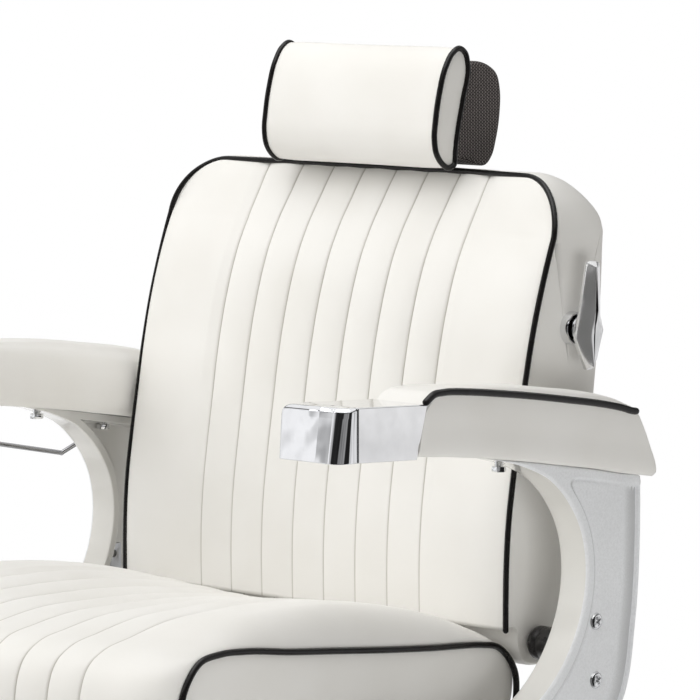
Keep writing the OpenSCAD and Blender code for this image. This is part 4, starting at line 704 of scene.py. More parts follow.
back = {
    "half": 268, "middle": (310, 735), "depth": 145, "height": 437, "y0": 222, "z0": 490, "corner": 62,
    "bulge": 9, "roll": 34, "pull": 12, "pullFrom": 110, "seamTop": 0.75, "seamRise": (730, 800),
    "rearRound": 12, "sideBulge": 1.5, "cap": 4, "pipe": 2.9, "pipeOut": 0.4,
    # points of the fine and of the coarse outline: on the front, and on the rest
    "count": {True: (120, 130), False: (64, 56)},
    # how far behind the piping the boxing follows the front, and where the rear's rounding sets in
    # and ends along the outline: distance from its start or end, and length of the change
    "follow": 22, "roundFrom": (18, 40), "roundTo": (50, 60),
    "front": [(0, 0, 0.1), (0, 0.069, 0.25), (0.007, 0.158, 0.35), (0.028, 0.245, 0.4), (0.069, 0.334, 0.55),
              (0.124, 0.435, 0.75), (0.193, 0.558, 0.95), (0.276, 0.675, 1), (0.338, 0.744, 0.95),
              (0.4, 0.805, 0.7), (0.469, 0.865, 0.25), (0.552, 0.92, -0.2), (0.634, 0.961, -0.2),
              (0.71, 0.989, 0)],
    # over the top, down the rear and round the nose, shares of depth and height
    "rest": [(0.71, 0.989), (0.79, 0.995), (0.86, 0.987), (0.965, 0.958), (1.005, 0.9), (1, 0.82),
             (0.98, 0.69), (0.925, 0.52), (0.85, 0.34), (0.77, 0.17), (0.7, 0.04), (0.6, -0.04),
             (0.44, -0.086), (0.276, -0.089), (0.172, -0.072), (0.118, -0.03), (0.11, 0.0),
             (0.06, 0.006), (0, 0)],
}
backOrigin, backSize = np.array([back["y0"], back["z0"]]), np.array([back["depth"], back["height"]])
cornerZ = back["z0"] + back["height"] - back["corner"]


def backLoop(fine):
    frontCount, restCount = back["count"][fine]
    front = np.array(back["front"])
    placed = backOrigin + front[:, :2] * backSize
    front = curveWeights(placed, frontCount) @ np.concatenate([placed, front[:, 2:]], axis=1)
    rest = backOrigin + np.array(back["rest"]) * backSize
    rest = curveWeights(rest, restCount + 2) @ rest
    way = wayAlong(rest)
    follow = np.clip(1 - way / back["follow"], 0, 1)
    side = np.gradient(rest, axis=0)
    side /= np.linalg.norm(side, axis=1)[:, None]
    out = np.stack([-side[:, 1], side[:, 0]], axis=1)
    if out[restCount // 2, 0] < 0:
        out = -out
    (start, rise), (stop, fall) = back["roundFrom"], back["roundTo"]
    inset = np.clip((way - start) / rise, 0, 1) * np.clip((way[-1] - way - stop) / fall, 0, 1)
    rest = np.column_stack([rest, np.zeros(len(rest)), follow, inset, out])[1:-1]
    lead = np.column_stack([front, np.ones(len(front)), np.zeros((len(front), 3))])
    return np.concatenate([lead, rest])


backLoops = {fine: backLoop(fine) for fine in (True, False)}
frontTable = backLoops[True][:back["count"][True][0]]


def frontY(z):
    return np.interp(z, frontTable[:, 1], frontTable[:, 0])


# How far the padding stands forward near an upper corner: it grows with the height above the
# corner's start and, as a smooth step, from pullFrom out to the corner
def cornerPull(x, z):
    share = smoothStep(np.abs(x), back["pullFrom"], back["half"] - back["corner"])
    return back["pull"] * np.clip((z - cornerZ) / back["corner"], 0, 1) * share


# Ring at x: points above the corner height come down by a quarter circle, and those near the
# front follow the front face as they do; the rear edge is rounded off towards the sides
def backRing(x, fine):
    loop = backLoops[fine]
    half = back["half"]
    rise = back["seamTop"] * smoothStep(loop[:, 1], *back["seamRise"])
    down = roll(x, half, back["corner"])
    z = np.where(loop[:, 1] > cornerZ, cornerZ + (loop[:, 1] - cornerZ) * down, loop[:, 1])
    y = loop[:, 0] + loop[:, 3] * (frontY(z) - frontY(loop[:, 1]))
    seam = np.maximum(loop[:, 2], rise) * loop[:, 3] ** 6
    y = y - loop[:, 2] * back["bulge"] * roll(x, half, back["roll"]) - loop[:, 3] * cornerPull(x, z)
    y = y - seam * channelRelief(np.array([x]))[0]
    turned = back["rearRound"] * (1 - roll(x, half, back["rearRound"]))
    y = y - loop[:, 4] * loop[:, 5] * turned
    z = z - loop[:, 4] * loop[:, 6] * turned
    return np.stack([np.full(len(loop), float(x)), y, z], axis=1)


def backStations(fine):
    places = stationsAcross(back["half"], back["corner"], fine)
    if fine:
        turn = back["half"] - back["rearRound"] * (1 - np.sin(np.linspace(0.2, np.pi / 2 - 0.1, 8)))
        places = np.unique(np.round(np.concatenate([places, turn, -turn]), 3))
    return places


backCushion = makeCushion("backCushion", back, backRing, backStations,
                          sewnFrom=back["count"][False][0] - 1, panels=True)


# Front edge of the backrest from one foot over both corners to the other foot
def backEdge(count):
    half = back["half"] + back["pipeOut"]
    radius = back["corner"] + back["pipeOut"]
    angle = np.linspace(0, np.pi / 2, 25)
    topZ = back["z0"] + back["height"] * back["front"][-1][1] + back["pipeOut"]
    post = np.linspace(back["z0"], cornerZ, 40)[:-1]
    z = np.concatenate([post, cornerZ + (topZ - cornerZ) * np.sin(angle)])
    x = np.concatenate([np.full(len(post), half), half - radius * (1 - np.cos(angle))])
    side = np.stack([x, frontY(z), z], axis=1)
    span = np.linspace(side[-1], side[-1] * [-1, 1, 1], 60)[1:-1]
    path = np.concatenate([side, span, side[::-1] * [-1, 1, 1]])
    path[:, 1] -= cornerPull(path[:, 0], path[:, 2])
    return evenPoints(path, count)


backPipe = tube("backPiping", backEdge(320), back["pipe"], side=(0, 1, 0.2))
place(backPipe, "backrest", piping, ["back_piping"])
place(backCushion, "backrest", backLeather, ["back_cushion", "back_shell"])
print("backrest is in")


# Headrest pad: outlines across the width, drawn in a little at the ends

head = {
    "half": 118, "y0": 278, "z0": 926, "thick": 38, "height": 120, "sideBulge": 1.5, "cap": 3,
    "drawFrom": 0.7, "draw": 0.02, "pipe": 2.9, "pipeOut": 1.0,
    "count": {True: 150, False: 64}, "rings": {True: 61, False: 21},
    "shares": [(0.08, 0.125), (0, 0.25), (0.05, 0.41), (0.18, 0.617), (0.45, 0.858), (0.68, 0.958),
               (0.95, 1), (1.18, 0.96), (1.27, 0.88), (1.08, 0.56), (0.9, 0.33), (0.79, 0.142),
               (0.74, 0.02), (0.53, 0), (0.32, 0.033)],
}
head["middle"] = (head["y0"] + head["thick"] * 0.62, head["z0"] + head["height"] * 0.5)


def headLoop(count):
    shares = np.array(head["shares"]) * [head["thick"], head["height"]] + [head["y0"], head["z0"]]
    return smoothPath(shares, count, closed=True)


headLoops = {fine: headLoop(head["count"][fine]) for fine in (True, False)}


def headRing(x, fine):
    away = max(0, abs(x) / head["half"] - head["drawFrom"]) / (1 - head["drawFrom"])
    loop = head["middle"] + (1 - head["draw"] * away**2) * (headLoops[fine] - head["middle"])
    return np.insert(loop, 0, x, axis=1)


def headStations(fine):
    return np.linspace(-head["half"], head["half"], head["rings"][fine])


headPad = makeCushion("headrestPad", head, headRing, headStations)
place(headPad, "headrest", leather, ["headrest_pad"])
headPipes = []
for side, word in sides:
    ring = headRing(side * head["half"], True)
    ring[:, 0] += side * head["pipeOut"]
    headPipes.append(tube("headrestPiping", ring, head["pipe"], closed=True))
place(joined("headrestPiping", headPipes), "headrest", piping, ["headrest_piping"])

# Cover behind the pad: rounded block with woven cloth. Each ring shrinks towards both ends as
# a quarter circle, and the weave is counted across the width and up the height
cover = {
    "half": 110, "y0": 321, "z0": 927, "depth": 65, "height": 104, "count": 120, "round": 5,
    "column": 2.3, "row": 3.3,
    "shares": [(0, 0.087), (0.25, 0.048), (0.5, 0), (0.69, 0), (0.8, 0.067), (0.908, 0.231), (1, 0.519),
               (1, 0.712), (0.908, 0.885), (0.723, 0.962), (0.46, 1), (0.215, 0.99)],
}


def makeCover():
    shares = np.array(cover["shares"]) * [cover["depth"], cover["height"]] + [cover["y0"], cover["z0"]]
    loop = smoothPath(shares, cover["count"], closed=True)
    middle = loop.mean(axis=0)
    turn = np.sin(np.linspace(0, np.pi / 2, 9))
    end = cover["half"] - cover["round"] + cover["round"] * turn
    x = np.concatenate([-end[::-1], np.linspace(-end[0], end[0], 40)[1:-1], end])
    drop = cover["round"] * (1 - roll(x, cover["half"], cover["round"]))
    size = np.linalg.norm(loop - middle, axis=1)
    rings = middle + (loop - middle)[None] * (1 - drop[:, None] / size[None])[..., None]
    rings = np.concatenate([np.broadcast_to(x[:, None, None], (*rings.shape[:2], 1)), rings], axis=2)
    poles = np.array([[x[0], *middle], [x[-1], *middle]])
    first, last = drawnIn(rings[0], poles[0], [0.2, 0.5, 0.8]), drawnIn(rings[-1], poles[1], [0.8, 0.5, 0.2])
    obj = skin("headrestCover", np.concatenate([first, rings, last]), poles)
    # on the ends depth takes the place of width, and on top and underneath that of height
    mesh = obj.data
    totals = readAll(mesh.polygons, "loop_total", kind=np.int32)
    normal = np.repeat(np.abs(readAll(mesh.polygons, "normal", 3)), totals, axis=0)
    corner = readAll(mesh.vertices, "co", 3)[readAll(mesh.loops, "vertex_index", kind=np.int32)] / mm
    sideways = normal[:, 0] > 0.7
    u = np.where(sideways, corner[:, 1], corner[:, 0]) / cover["column"]
    v = np.where(~sideways & (normal[:, 2] > 0.7), corner[:, 1], corner[:, 2]) / cover["row"]
    layer = mesh.uv_layers.new(name="weave")
    layer.data.foreach_set("uv", np.stack([u, v], axis=1).astype(np.float32).ravel())
    return obj


place(makeCover(), "headrest", woven, ["headrest_cover"])
print("headrest is in")


# Arm pads: sections carried along the pad. Shares along the length give the underside, the
# piping, the crown and the slant of the section, and the ring gives width and height in it

arm = {
    "innerX": 276, "width": 77, "y0": 10, "z0": 635, "length": 334, "height": 107, "pipe": 3.5,
    # sections, and points of a section on its outer side, over the top and underneath
    "alongCount": 110, "outerCount": 20, "overCount": 64, "underCount": 12,
    # the piping starts where it passes this height, and its first stretch swings forward
    "pipeStart": 733, "pipeSwing": 8, "swingReach": 22, "swingPower": 1.6,
    "along": [(0.001, 0.457, 0.83, 0.87, 0.275), (0.024, 0.448, 0.91, 0.945, 0.2),
              (0.054, 0.438, 0.972, 0.985, 0.1), (0.105, 0.424, 0.988, 0.998, 0), (0.21, 0.39, 0.967, 1, 0),
              (0.33, 0.343, 0.925, 0.99, 0), (0.464, 0.286, 0.872, 0.954, 0), (0.6, 0.22, 0.81, 0.898, 0),
              (0.754, 0.143, 0.735, 0.832, 0), (0.868, 0.076, 0.675, 0.77, -0.1),
              (0.946, 0.043, 0.64, 0.725, -0.3), (1, 0.02, 0.63, 0.7, -0.47)],
    "outer": [(0.99, 0, 0), (1, 0.03, 0), (1, 0.5, 0), (1, 1, 0)],
    "rearFrom": 0.86, "rearBulge": 4.5, "lowCorner": 5, "rearSwell": 7,
    "over": [(1, 1, 0), (0.95, 1, 0.45), (0.83, 1, 0.85), (0.62, 1, 1), (0.38, 1, 0.85), (0.2, 1, 0.25),
             (0.08, 0.9, 0), (0.01, 0.66, 0), (0, 0.3, 0), (0.03, 0.08, 0), (0.08, 0, 0)],
}


def armPoint(s, q):
    s, q = s[:, None, :], q[None, :, :]
    z = arm["z0"] + arm["height"] * (s[..., 1] + q[..., 1] * (s[..., 2] - s[..., 1])
                                     + q[..., 2] * (s[..., 3] - s[..., 2]))
    x = np.broadcast_to(arm["innerX"] + q[..., 0] * arm["width"], z.shape)
    y = arm["y0"] + s[..., 0] * arm["length"] + s[..., 4] * (z - arm["z0"] - s[..., 1] * arm["height"])
    return np.stack([x, y, z], axis=2)


def armSections(count):
    along = np.array(arm["along"])
    return curveWeights(along[:, [0, 2]] * [arm["length"], arm["height"]], count) @ along


def armPad(side):
    sections = armSections(arm["alongCount"])
    outer = smoothPath(arm["outer"], arm["outerCount"])
    over = smoothPath(arm["over"], arm["overCount"])
    under = np.linspace(over[-1], outer[0], arm["underCount"] + 2)[1:-1]
    section = np.concatenate([outer, over[1:], under])
    rings = armPoint(sections, section)
    # towards the rear end the section bows out as a sine and its lower corner draws in
    late = smoothStep(sections[:, 0], arm["rearFrom"], 1)[:, None]
    low, high = rings[..., 2].min(axis=1)[:, None], rings[..., 2].max(axis=1)[:, None]
    up = rings[..., 2] - low
    share = np.clip(up / (high - low), 0, 1)
    bow = arm["rearBulge"] * np.sin(np.pi * share) ** 0.8
    rings[..., 1] += late * (bow - rounding(up, arm["lowCorner"]))
    # both ends close through smaller rings, and the rear one bulges as a half circle
    rear = rings[-1].mean(axis=0)
    front = rings[0].mean(axis=0)
    steps = np.array([0.985, 0.95, 0.88, 0.78, 0.62, 0.42, 0.2])
    rearRings = drawnIn(rings[-1], rear, steps)
    rearRings[..., 1] += arm["rearSwell"] * np.sqrt(1 - steps[:, None] ** 2)
    rings = np.concatenate([drawnIn(rings[0], front, steps[::-1]), rings, rearRings])
    rings[..., 0] *= side
    ends = np.array([front, rear + [0, arm["rearSwell"], 0]]) * [side, 1, 1]
    return skin("armPad", rings, ends)


def armPipingPath(side):
    sections = armSections(80)
    edge = armPoint(sections, np.array([[1, 1, 0]]))[:, 0] + [0.5, 0, 0]
    edge = edge[int(np.argmax(edge[:, 2] > arm["pipeStart"])):]
    # the first stretch swings forward onto the rim of the nose
    near = np.clip(1 - wayAlong(edge) / arm["swingReach"], 0, 1)
    edge[:, 1] -= arm["pipeSwing"] * near ** arm["swingPower"]
    return smoothPath(edge, 160) * [side, 1, 1]


for side, word in sides:
    place(armPad(side), "chair", leather, ["arm_pad_" + word]).name = "armPad_" + word
    pipe = tube("armPiping_" + word, armPipingPath(side), arm["pipe"])
    place(pipe, "chair", piping, ["arm_piping_" + word])
print("arm pads are in")


# Copy of a node's mesh with its loose triangles merged
def mergedCopy(node, name):
    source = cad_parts[node]
    obj = bpy.data.objects.new(name, source.data.copy())
    scene.collection.objects.link(obj)
    obj.matrix_world = source.matrix_world
    weld = obj.modifiers.new("weld", "WELD")
    weld.merge_threshold = 0.00002
    applyModifiers(obj)
    obj.data.polygons.foreach_set("use_smooth", np.ones(len(obj.data.polygons), dtype=bool))
    return obj


legPad = mergedCopy("legrest_pad", "legrestPad")
soft = legPad.modifiers.new("smooth", "SUBSURF")
soft.levels = soft.render_levels = 2
applyModifiers(legPad)
place(legPad, "legrest", leather, ["legrest_pad"])
print("legrest is in")


# Side castings: a plate between the inner and the outer curve. Its faces are height fields over
# the distances to the inner edge, the outer edge and the pad's underside

casting = {
    "innerX": 315, "outerX": 350, "round": 3, "rings": 340, "rim": 8, "pocket": 18,
    # the sunk panel on the outside, the groove round it, and the fall of its field towards the rear
    "border": 11.5, "topBorder": 11, "panelCorner": 14, "step": 0.9, "groove": 1.5, "grooveWidth": 0.9,
    "curl": 25, "curlDrop": 6.8, "curlPower": 1.5, "lip": 2.7,
    "inner": [(112.1, 672.5), (165.8, 659.1), (197.8, 644.9), (225.9, 619.1), (242.9, 589.9), (249.2, 555),
              (244.1, 518.1), (227.9, 482.1), (191.9, 442.1), (140.2, 416), (69.9, 405.9), (-40, 403.2)],
    "outer": [(327, 636.4), (327, 576), (321.1, 498.1), (304.1, 423.8), (270.1, 382.1), (220, 352),
              (150, 338.1), (60, 334), (-30.1, 340.1), (-60.1, 352), (-68, 375), (-62.1, 396), (-40, 403.2)],
    "insetSteps": [0, 0.25, 0.8, 1.5, 2.2, 2.6, 3, 3.4, 4.2, 5.4, 6.6, 7.7, 8.3, 9, 9.8, 10.6, 11.4, 12.2,
                   13, 14.5],
    # the pad's underside is the top edge up to this depth and no higher than the limit, and a
    # corner point leads over to the rear edge
    "padGap": 0.3, "topEnd": 322, "topLimit": 673, "corner": (325.6, 1.5), "rearY": 327, "rearStart": 633,
}


# Underside of the arm pad as height against depth
def padUnderside(y):
    along = np.array(arm["along"])
    z = arm["z0"] + along[:, 1] * arm["height"] - casting["padGap"]
    return np.interp(y, arm["y0"] + along[:, 0] * arm["length"], z)


# Shortest distance from each point to a polyline: over its pieces, the least distance to the
# foot of the perpendicular, kept between the ends
def distanceTo(points, line):
    a, b = line[:-1], line[1:]
    best = np.full(len(points), 1e9)
    for start in range(0, len(a), 40):
        p, q = a[start:start + 40], b[start:start + 40]
        along = q - p
        share = ((points[:, None] - p) * along).sum(axis=2) / (along**2).sum(axis=1)
        foot = p + np.clip(share, 0, 1)[..., None] * along
        best = np.minimum(best, np.linalg.norm(points[:, None] - foot, axis=2).min(axis=1))
    return best


def makeCasting(side, name):
    inner = smoothPath(casting["inner"], casting["rings"])
    top = np.linspace(inner[0, 0], casting["topEnd"], 120)
    top = np.stack([top, np.minimum(padUnderside(top), casting["topLimit"])], axis=1)
    top[0] = inner[0]
    rear = smoothPath(casting["outer"], 300)
    rear = rear[rear[:, 1] < casting["rearStart"]]
    cornerY, cornerDrop = casting["corner"]
    outer = np.concatenate([top, [[cornerY, padUnderside(casting["rearY"]) - cornerDrop]], rear])
    paired = evenPoints(outer, casting["rings"])
    width = np.linalg.norm(paired - inner, axis=1)
    steps = np.array(casting["insetSteps"])
    near = np.minimum(steps[None, :] / np.maximum(width, 1e-6)[:, None], 0.42 * steps / steps[-1])
    middle = np.linspace(0, 1, 16)[None, 1:-1] * (1 - 2 * near[:, -1:]) + near[:, -1:]
    share = np.concatenate([near, middle, 1 - near[:, ::-1]], axis=1)
    field = inner[:, None] + share[..., None] * (paired - inner)[:, None]
    flat = field.reshape(-1, 2)
    dInner = distanceTo(flat, inner)
    dTop = distanceTo(flat, top)
    dRear = distanceTo(flat, outer[len(top):])
    edge = np.minimum(np.minimum(dInner, dTop), dRear)
    # distance inside the recessed panel, whose upper corner is a quarter circle, and its groove
    u, v, r = dInner - casting["border"], dTop - casting["topBorder"], casting["panelCorner"]
    corner = r - np.hypot(np.clip(r - u, 0, None), np.clip(r - v, 0, None))
    inPanel = np.where((u < r) & (v < r), corner, np.minimum(u, v))
    below = smoothStep(inPanel, -1, 1)
    x = casting["outerX"] - rounding(edge, casting["round"]) - casting["step"] * below
    x = x - casting["groove"] * np.exp(-(inPanel / casting["grooveWidth"]) ** 2)
    # the field falls away towards the rear as a power of the nearness and ends at a thin lip
    curl = np.clip(1 - dRear / casting["curl"], 0, 1) ** casting["curlPower"]
    lip = 1 - smoothStep(dRear, casting["lip"] - 1.1, casting["lip"])
    x = x - casting["curlDrop"] * curl * below * (1 - lip) * smoothStep(dInner, 4, 14)
    outerFace = np.concatenate([x[:, None], flat], axis=1).reshape(*field.shape[:2], 3)
    pocket = smoothStep(edge, casting["rim"], casting["rim"] + 1.3)
    x = casting["innerX"] + rounding(edge, 1.2) + casting["pocket"] * pocket
    innerFace = np.concatenate([x[:, None], flat], axis=1).reshape(*field.shape[:2], 3)
    wall = np.linspace(0, 1, 7)[None, 1:-1, None]
    outerWall = outerFace[:, -1:] + wall * (innerFace[:, -1:] - outerFace[:, -1:])
    innerWall = innerFace[:, :1] + wall * (outerFace[:, :1] - innerFace[:, :1])
    rings = np.concatenate([outerFace, outerWall, innerFace[:, ::-1], innerWall], axis=1)
    rings[..., 0] *= side
    obj = skin(name, rings[1:-1], [rings[0].mean(axis=0), rings[-1].mean(axis=0)])
    place(obj, "chair", castPaint, [name])
    obj.data.materials.append(creamPaint)
    count = rings.shape[1]
    faces = share.shape[1]
    spot = np.arange(len(obj.data.polygons)) % count
    # the face that looks into the opening, the lower outer wall and the inner face are glossy
    gloss = (spot >= faces - 1) & (np.arange(len(spot)) < (len(rings) - 3) * count)
    obj.data.polygons.foreach_set("material_index", gloss.astype(np.int32))
    return obj


for side, word in sides:
    makeCasting(side, "side_frame_" + word)
print("castings are in")


# Fasteners of the pivot brackets: a washer with a raised edge, a domed head and a cross recess
screw = {"x": 347.2, "y": 262, "z": (503.5, 446.5), "ring": 8.6, "head": 7.0, "dome": 2.2, "lift": 2.6,
         "ringLow": 0.5, "ringHigh": 2.5, "foot": -2.0, "slotLength": 4.6, "slotWidth": 1.15,
         "slotDepth": 2.2, "turn": 24, "count": 120,
         "edgeRadii": (6.6, 6.8, 6.95, 7.0, 7.05, 7.2, 7.5, 7.9, 8.2, 8.45, 8.6)}


def screwHeight(r, a):
    dome = screw["lift"] + screw["dome"] * np.sqrt(np.clip(1 - (r / (screw["head"] * 1.12)) ** 2, 0, 1))
    a = a - math.radians(screw["turn"])
    low, high = screw["slotWidth"] - 0.3, screw["slotWidth"] + 0.2
    bar = 1 - smoothStep(np.minimum(np.abs(r * np.cos(a)), np.abs(r * np.sin(a))), low, high)
    recess = bar * (1 - smoothStep(r, screw["slotLength"] - 0.5, screw["slotLength"] + 0.3))
    ring = screw["ringLow"] + screw["ringHigh"] * smoothStep(r, screw["head"] + 0.1, screw["head"] + 0.7) * (
        1 - 0.8 * smoothStep(r, screw["ring"] - 0.6, screw["ring"]))
    return np.where(r <= screw["head"], dome - screw["slotDepth"] * recess, ring)


# Rings of radius r, each point at angle a, stand out along X by their height
def screwHead(side, z):
    radii = np.concatenate([np.linspace(0.25, 6.3, 34), screw["edgeRadii"]])
    r, a = np.meshgrid(radii, np.linspace(0, 2 * np.pi, screw["count"], endpoint=False), indexing="ij")
    x = screw["x"] + screwHeight(r, a)
    rings = np.stack([x, screw["y"] + r * np.cos(a), z + r * np.sin(a)], axis=2)
    foot = rings[-1:].copy()
    foot[..., 0] = screw["x"] + screw["foot"]
    ends = np.array([[x[0].mean(), screw["y"], z], [screw["x"] + screw["foot"], screw["y"], z]])
    return skin("bracketScrew", np.concatenate([rings, foot]) * [side, 1, 1], ends * [side, 1, 1])


screwHeads = joined("bracketScrews", [screwHead(side, z) for side, word in sides for z in screw["z"]])
place(screwHeads, "chair", screwChrome, ["bracket_screws"])

# Caps on the pivots: flat black face with fine rings, a bevelled edge and a dished middle
hub = {
    "y": 262, "z": 475, "face": 272,
    # distance behind the face, and radius
    "profile": [(2.4, 2.5), (2.2, 6.5), (0.6, 7.2), (0.1, 8.6), (0, 10.4), (0.7, 10.9), (0.7, 11.4),
                (0, 11.9), (0, 12.9), (0.8, 14.2), (3, 16), (5, 16.5), (12, 16.5), (12.4, 16.1),
                (13.2, 16.1), (13.6, 16.5), (35.9, 16.5), (36.5, 15.9), (36.5, 11)],
}
hubProfile = np.array(hub["profile"]) + [hub["face"], 0]
hubs = [turnedX("hubCap", hubProfile, hub["y"], hub["z"], 72, mirror) for mirror in (False, True)]
place(joined("hubCaps", hubs), "chair", blackPlastic, ["pivot_hub_caps"])


# Chrome noses of the arms: level outlines stacked up. The outline has a tight inner front
# corner and a wide outer one, the front leans back, the rear follows the pad's slant, and the
# inner side moves out over the top as a quarter circle

nose = {
    "innerX": 274, "outerX": 353, "front": -92.8, "rake": (3.5, 9), "base": 684, "height": 51, "seam": -68.8,
    "rear": 9.4, "rearSlant": 14, "innerRound": 4, "outerRound": 15, "topRound": 10, "gap": 0.35,
    "edge": {True: (1.2, 4.6), False: (1.2, 1.4)}, "fall": 0.042,
}


# Outline at one height: from the rear inner point round the front to the rear outer point
def noseOutline(z, cap):
    up = (z - nose["base"]) / nose["height"]
    topGap = nose["base"] + nose["height"] - z
    low, high = nose["edge"][cap]
    shrink = rounding(z - nose["base"], low) + rounding(topGap, high)
    over = rounding(topGap, nose["topRound"])
    x0, x1 = nose["innerX"] + max(shrink, over), nose["outerX"] - shrink
    y0 = nose["front"] + shrink
    y1 = nose["rear"] + nose["rearSlant"] * up - shrink
    if cap:
        y1 = nose["seam"] - nose["gap"]
        r0, r1 = nose["innerRound"], nose["outerRound"]
        turn = np.linspace(0, np.pi / 2, 17)
        tight = np.stack([x0 + r0 - r0 * np.cos(turn), y0 + r0 - r0 * np.sin(turn)], axis=1)
        wide = np.stack([x1 - r1 + r1 * np.sin(turn), y0 + r1 - r1 * np.cos(turn)], axis=1)
        rearSide = np.array([[x1, y1 - 0.8], [x1 - 0.3, y1 - 0.15], [x1 - 1, y1]])
        rearInner = np.array([[x0 + 1, y1], [x0 + 0.3, y1 - 0.15], [x0, y1 - 0.8]])
        face = np.linspace(tight[-1], wide[0], 14)[1:-1]
        points = np.concatenate([tight, face, wide, rearSide, rearInner])
        # the front leans back, more on the outer side than on the inner one
        lean = np.interp(points[:, 0], [nose["innerX"], nose["outerX"]], nose["rake"]) * up
        points[:, 1] += lean * np.clip((y1 - 1 - points[:, 1]) / (y1 - 1 - y0), 0, 1)
    else:
        y0 = nose["seam"] + nose["gap"]
        # distance inside the side faces, and depth: the outer side rearwards, the inner one back
        inset = np.array([1, 0.3, 0, 0, 0, 0, 0, 1])
        y = np.array([y0, y0 + 0.15, y0 + 0.8, y0 + 1.9, y0 + 0.5 * (y1 - y0), y1 - 1.6, y1 - 0.5, y1])
        points = np.concatenate([np.stack([x1 - inset, y], axis=1), np.stack([x0 + inset, y], axis=1)[::-1]])
    drop = nose["fall"] * np.clip(points[:, 1:] - nose["seam"], 0, None)
    return np.concatenate([points, z - drop], axis=1)


def makeNose(name, side, cap):
    top = nose["base"] + nose["height"]
    turn = np.linspace(0, np.pi / 2, 7)
    lowEdge, highEdge = nose["edge"][cap]
    lower = nose["base"] + lowEdge * (1 - np.cos(turn))
    bend = top - nose["topRound"] * (1 - np.sin(np.linspace(0, np.pi / 2, 15)))
    upper = top - highEdge * (1 - np.sin(np.linspace(0, np.pi / 2, 9)))
    z = np.unique(np.round(np.concatenate([lower, bend, upper]), 4))
    rings = np.stack([noseOutline(h, cap) for h in z])
    rings[..., 0] *= side
    # the flat ends close through inner rings, so that the bevel keeps its own shading
    middles = rings[[0, -1]].min(axis=1) * 0.5 + rings[[0, -1]].max(axis=1) * 0.5
    low = drawnIn(rings[0], middles[0], [0.5, 0.95, 0.99])
    high = drawnIn(rings[-1], middles[1], [0.99, 0.95, 0.5])
    obj = skin(name, np.concatenate([low, rings, high]), middles)
    obj.data.set_sharp_from_angle(angle=math.radians(50))
    return obj


for side, word in sides:
    place(makeNose("noseCap_" + word, side, True), "chair", capChrome, ["arm_cap_" + word])
    place(makeNose("nose_" + word, side, False), "chair", noseChrome, ["arm_nose_" + word])
print("noses are in")


# Lock lever of the headrest: its outline rises over a narrow bevel to a rim and from there in
# flat facets to a ridge that passes over the hub

lever = {
    "y": 314, "z": 777, "x": 288.8, "thick": 5, "ridge": 9.4, "bevel": 0.7,
    "outline": [(-19, -8), (-13, -22), (-4.4, -38), (-3.4, -38.8), (3.2, -38.6), (10.6, -30), (20, -2),
                (15.8, 13), (14.2, 63), (12.6, 65), (9, 66), (0, 66.6), (-2.4, 65.6), (-3.4, 63), (-14, 13)],
    "ridgeLine": [(4.4, 61), (7.2, 14), (0.2, -2), (1, -36)],
}


def makeLever():
    corners = np.array(lever["outline"], dtype=float)
    ring = np.concatenate([corners, corners[:1]])
    way = wayAlong(ring)
    outline = pointsAt(ring, np.unique(np.concatenate([way[:-1], np.linspace(0, way[-1], 120)[:-1]])))
    ridge = np.array(lever["ridgeLine"], dtype=float)
    # each point of the rim climbs to the nearest place on the ridge
    a, b = ridge[:-1], ridge[1:]
    t = np.clip(((outline[:, None] - a) * (b - a)).sum(axis=2) / ((b - a) ** 2).sum(axis=1), 0.02, 0.98)
    foot = a + t[..., None] * (b - a)
    nearest = np.linalg.norm(outline[:, None] - foot, axis=2).argmin(axis=1)
    foot = foot[np.arange(len(foot)), nearest]
    centre = corners.mean(axis=0)
    levels = [(0.0, lever["bevel"]), (lever["bevel"], 0.0), (lever["thick"] - 1.2, 0.0),
              (lever["thick"] - 0.4, 0.8)]
    away = outline - centre
    size = np.linalg.norm(away, axis=1)[:, None]
    levels = [(x, centre + away * (1 - inset / size)) for x, inset in levels]
    rim = levels[-1][1]
    # flat facets up to three quarters of the way, then a parabola that is level at the ridge
    for up in (0.4, 0.75, 0.8, 0.86, 0.92, 0.97, 1.0):
        rise = (up - 2 * max(0, up - 0.75) ** 2) / 0.875
        x = lever["thick"] - 0.4 + rise * (lever["ridge"] - lever["thick"] + 0.4)
        levels.append((x, rim + up * (foot - rim)))
    rings = np.stack([np.insert(outline, 0, x, axis=1) for x, outline in levels])
    rings += [lever["x"], lever["y"], lever["z"]]
    obj = skin("lockLever", rings, [rings[0].mean(axis=0), rings[-1].mean(axis=0)])
    obj.data.set_sharp_from_angle(angle=math.radians(32))
    return obj


place(makeLever(), "headrest_lock", leverChrome, ["lock_lever"])

# Round parts on the lever's axis: body, node, points round, and profile of X and radius
turnedParts = {
    "leverEscutcheon": ("backrest", "lever_escutcheon", 72, [
        (276.2, 6.6), (269.4, 6.9), (269.2, 12.4), (270.2, 13.4), (275.6, 13.6), (277.2, 14), (277.9, 14.8),
        (277.4, 15.8), (275.2, 16.5), (272, 16.9), (268.4, 17), (267, 17), (266.9, 6.6)]),
    "lockShaft": ("headrest_lock", "lock_shaft", 48, [
        (253.6, 5.6), (254, 6), (270.6, 6), (270.8, 11.6), (271.4, 12.2), (277, 12.6), (282, 14), (286, 16.2),
        (288.9, 17.6), (289, 5)]),
}
for name, (body, node, count, profile) in turnedParts.items():
    part = turnedX(name, profile, lever["y"], lever["z"], count)
    part.data.set_sharp_from_angle(angle=math.radians(45))
    place(part, body, chrome, [node])
print("lever is in")


# Rigid nodes as copies with softened edges, each with its finish; hidden ones keep their own mesh

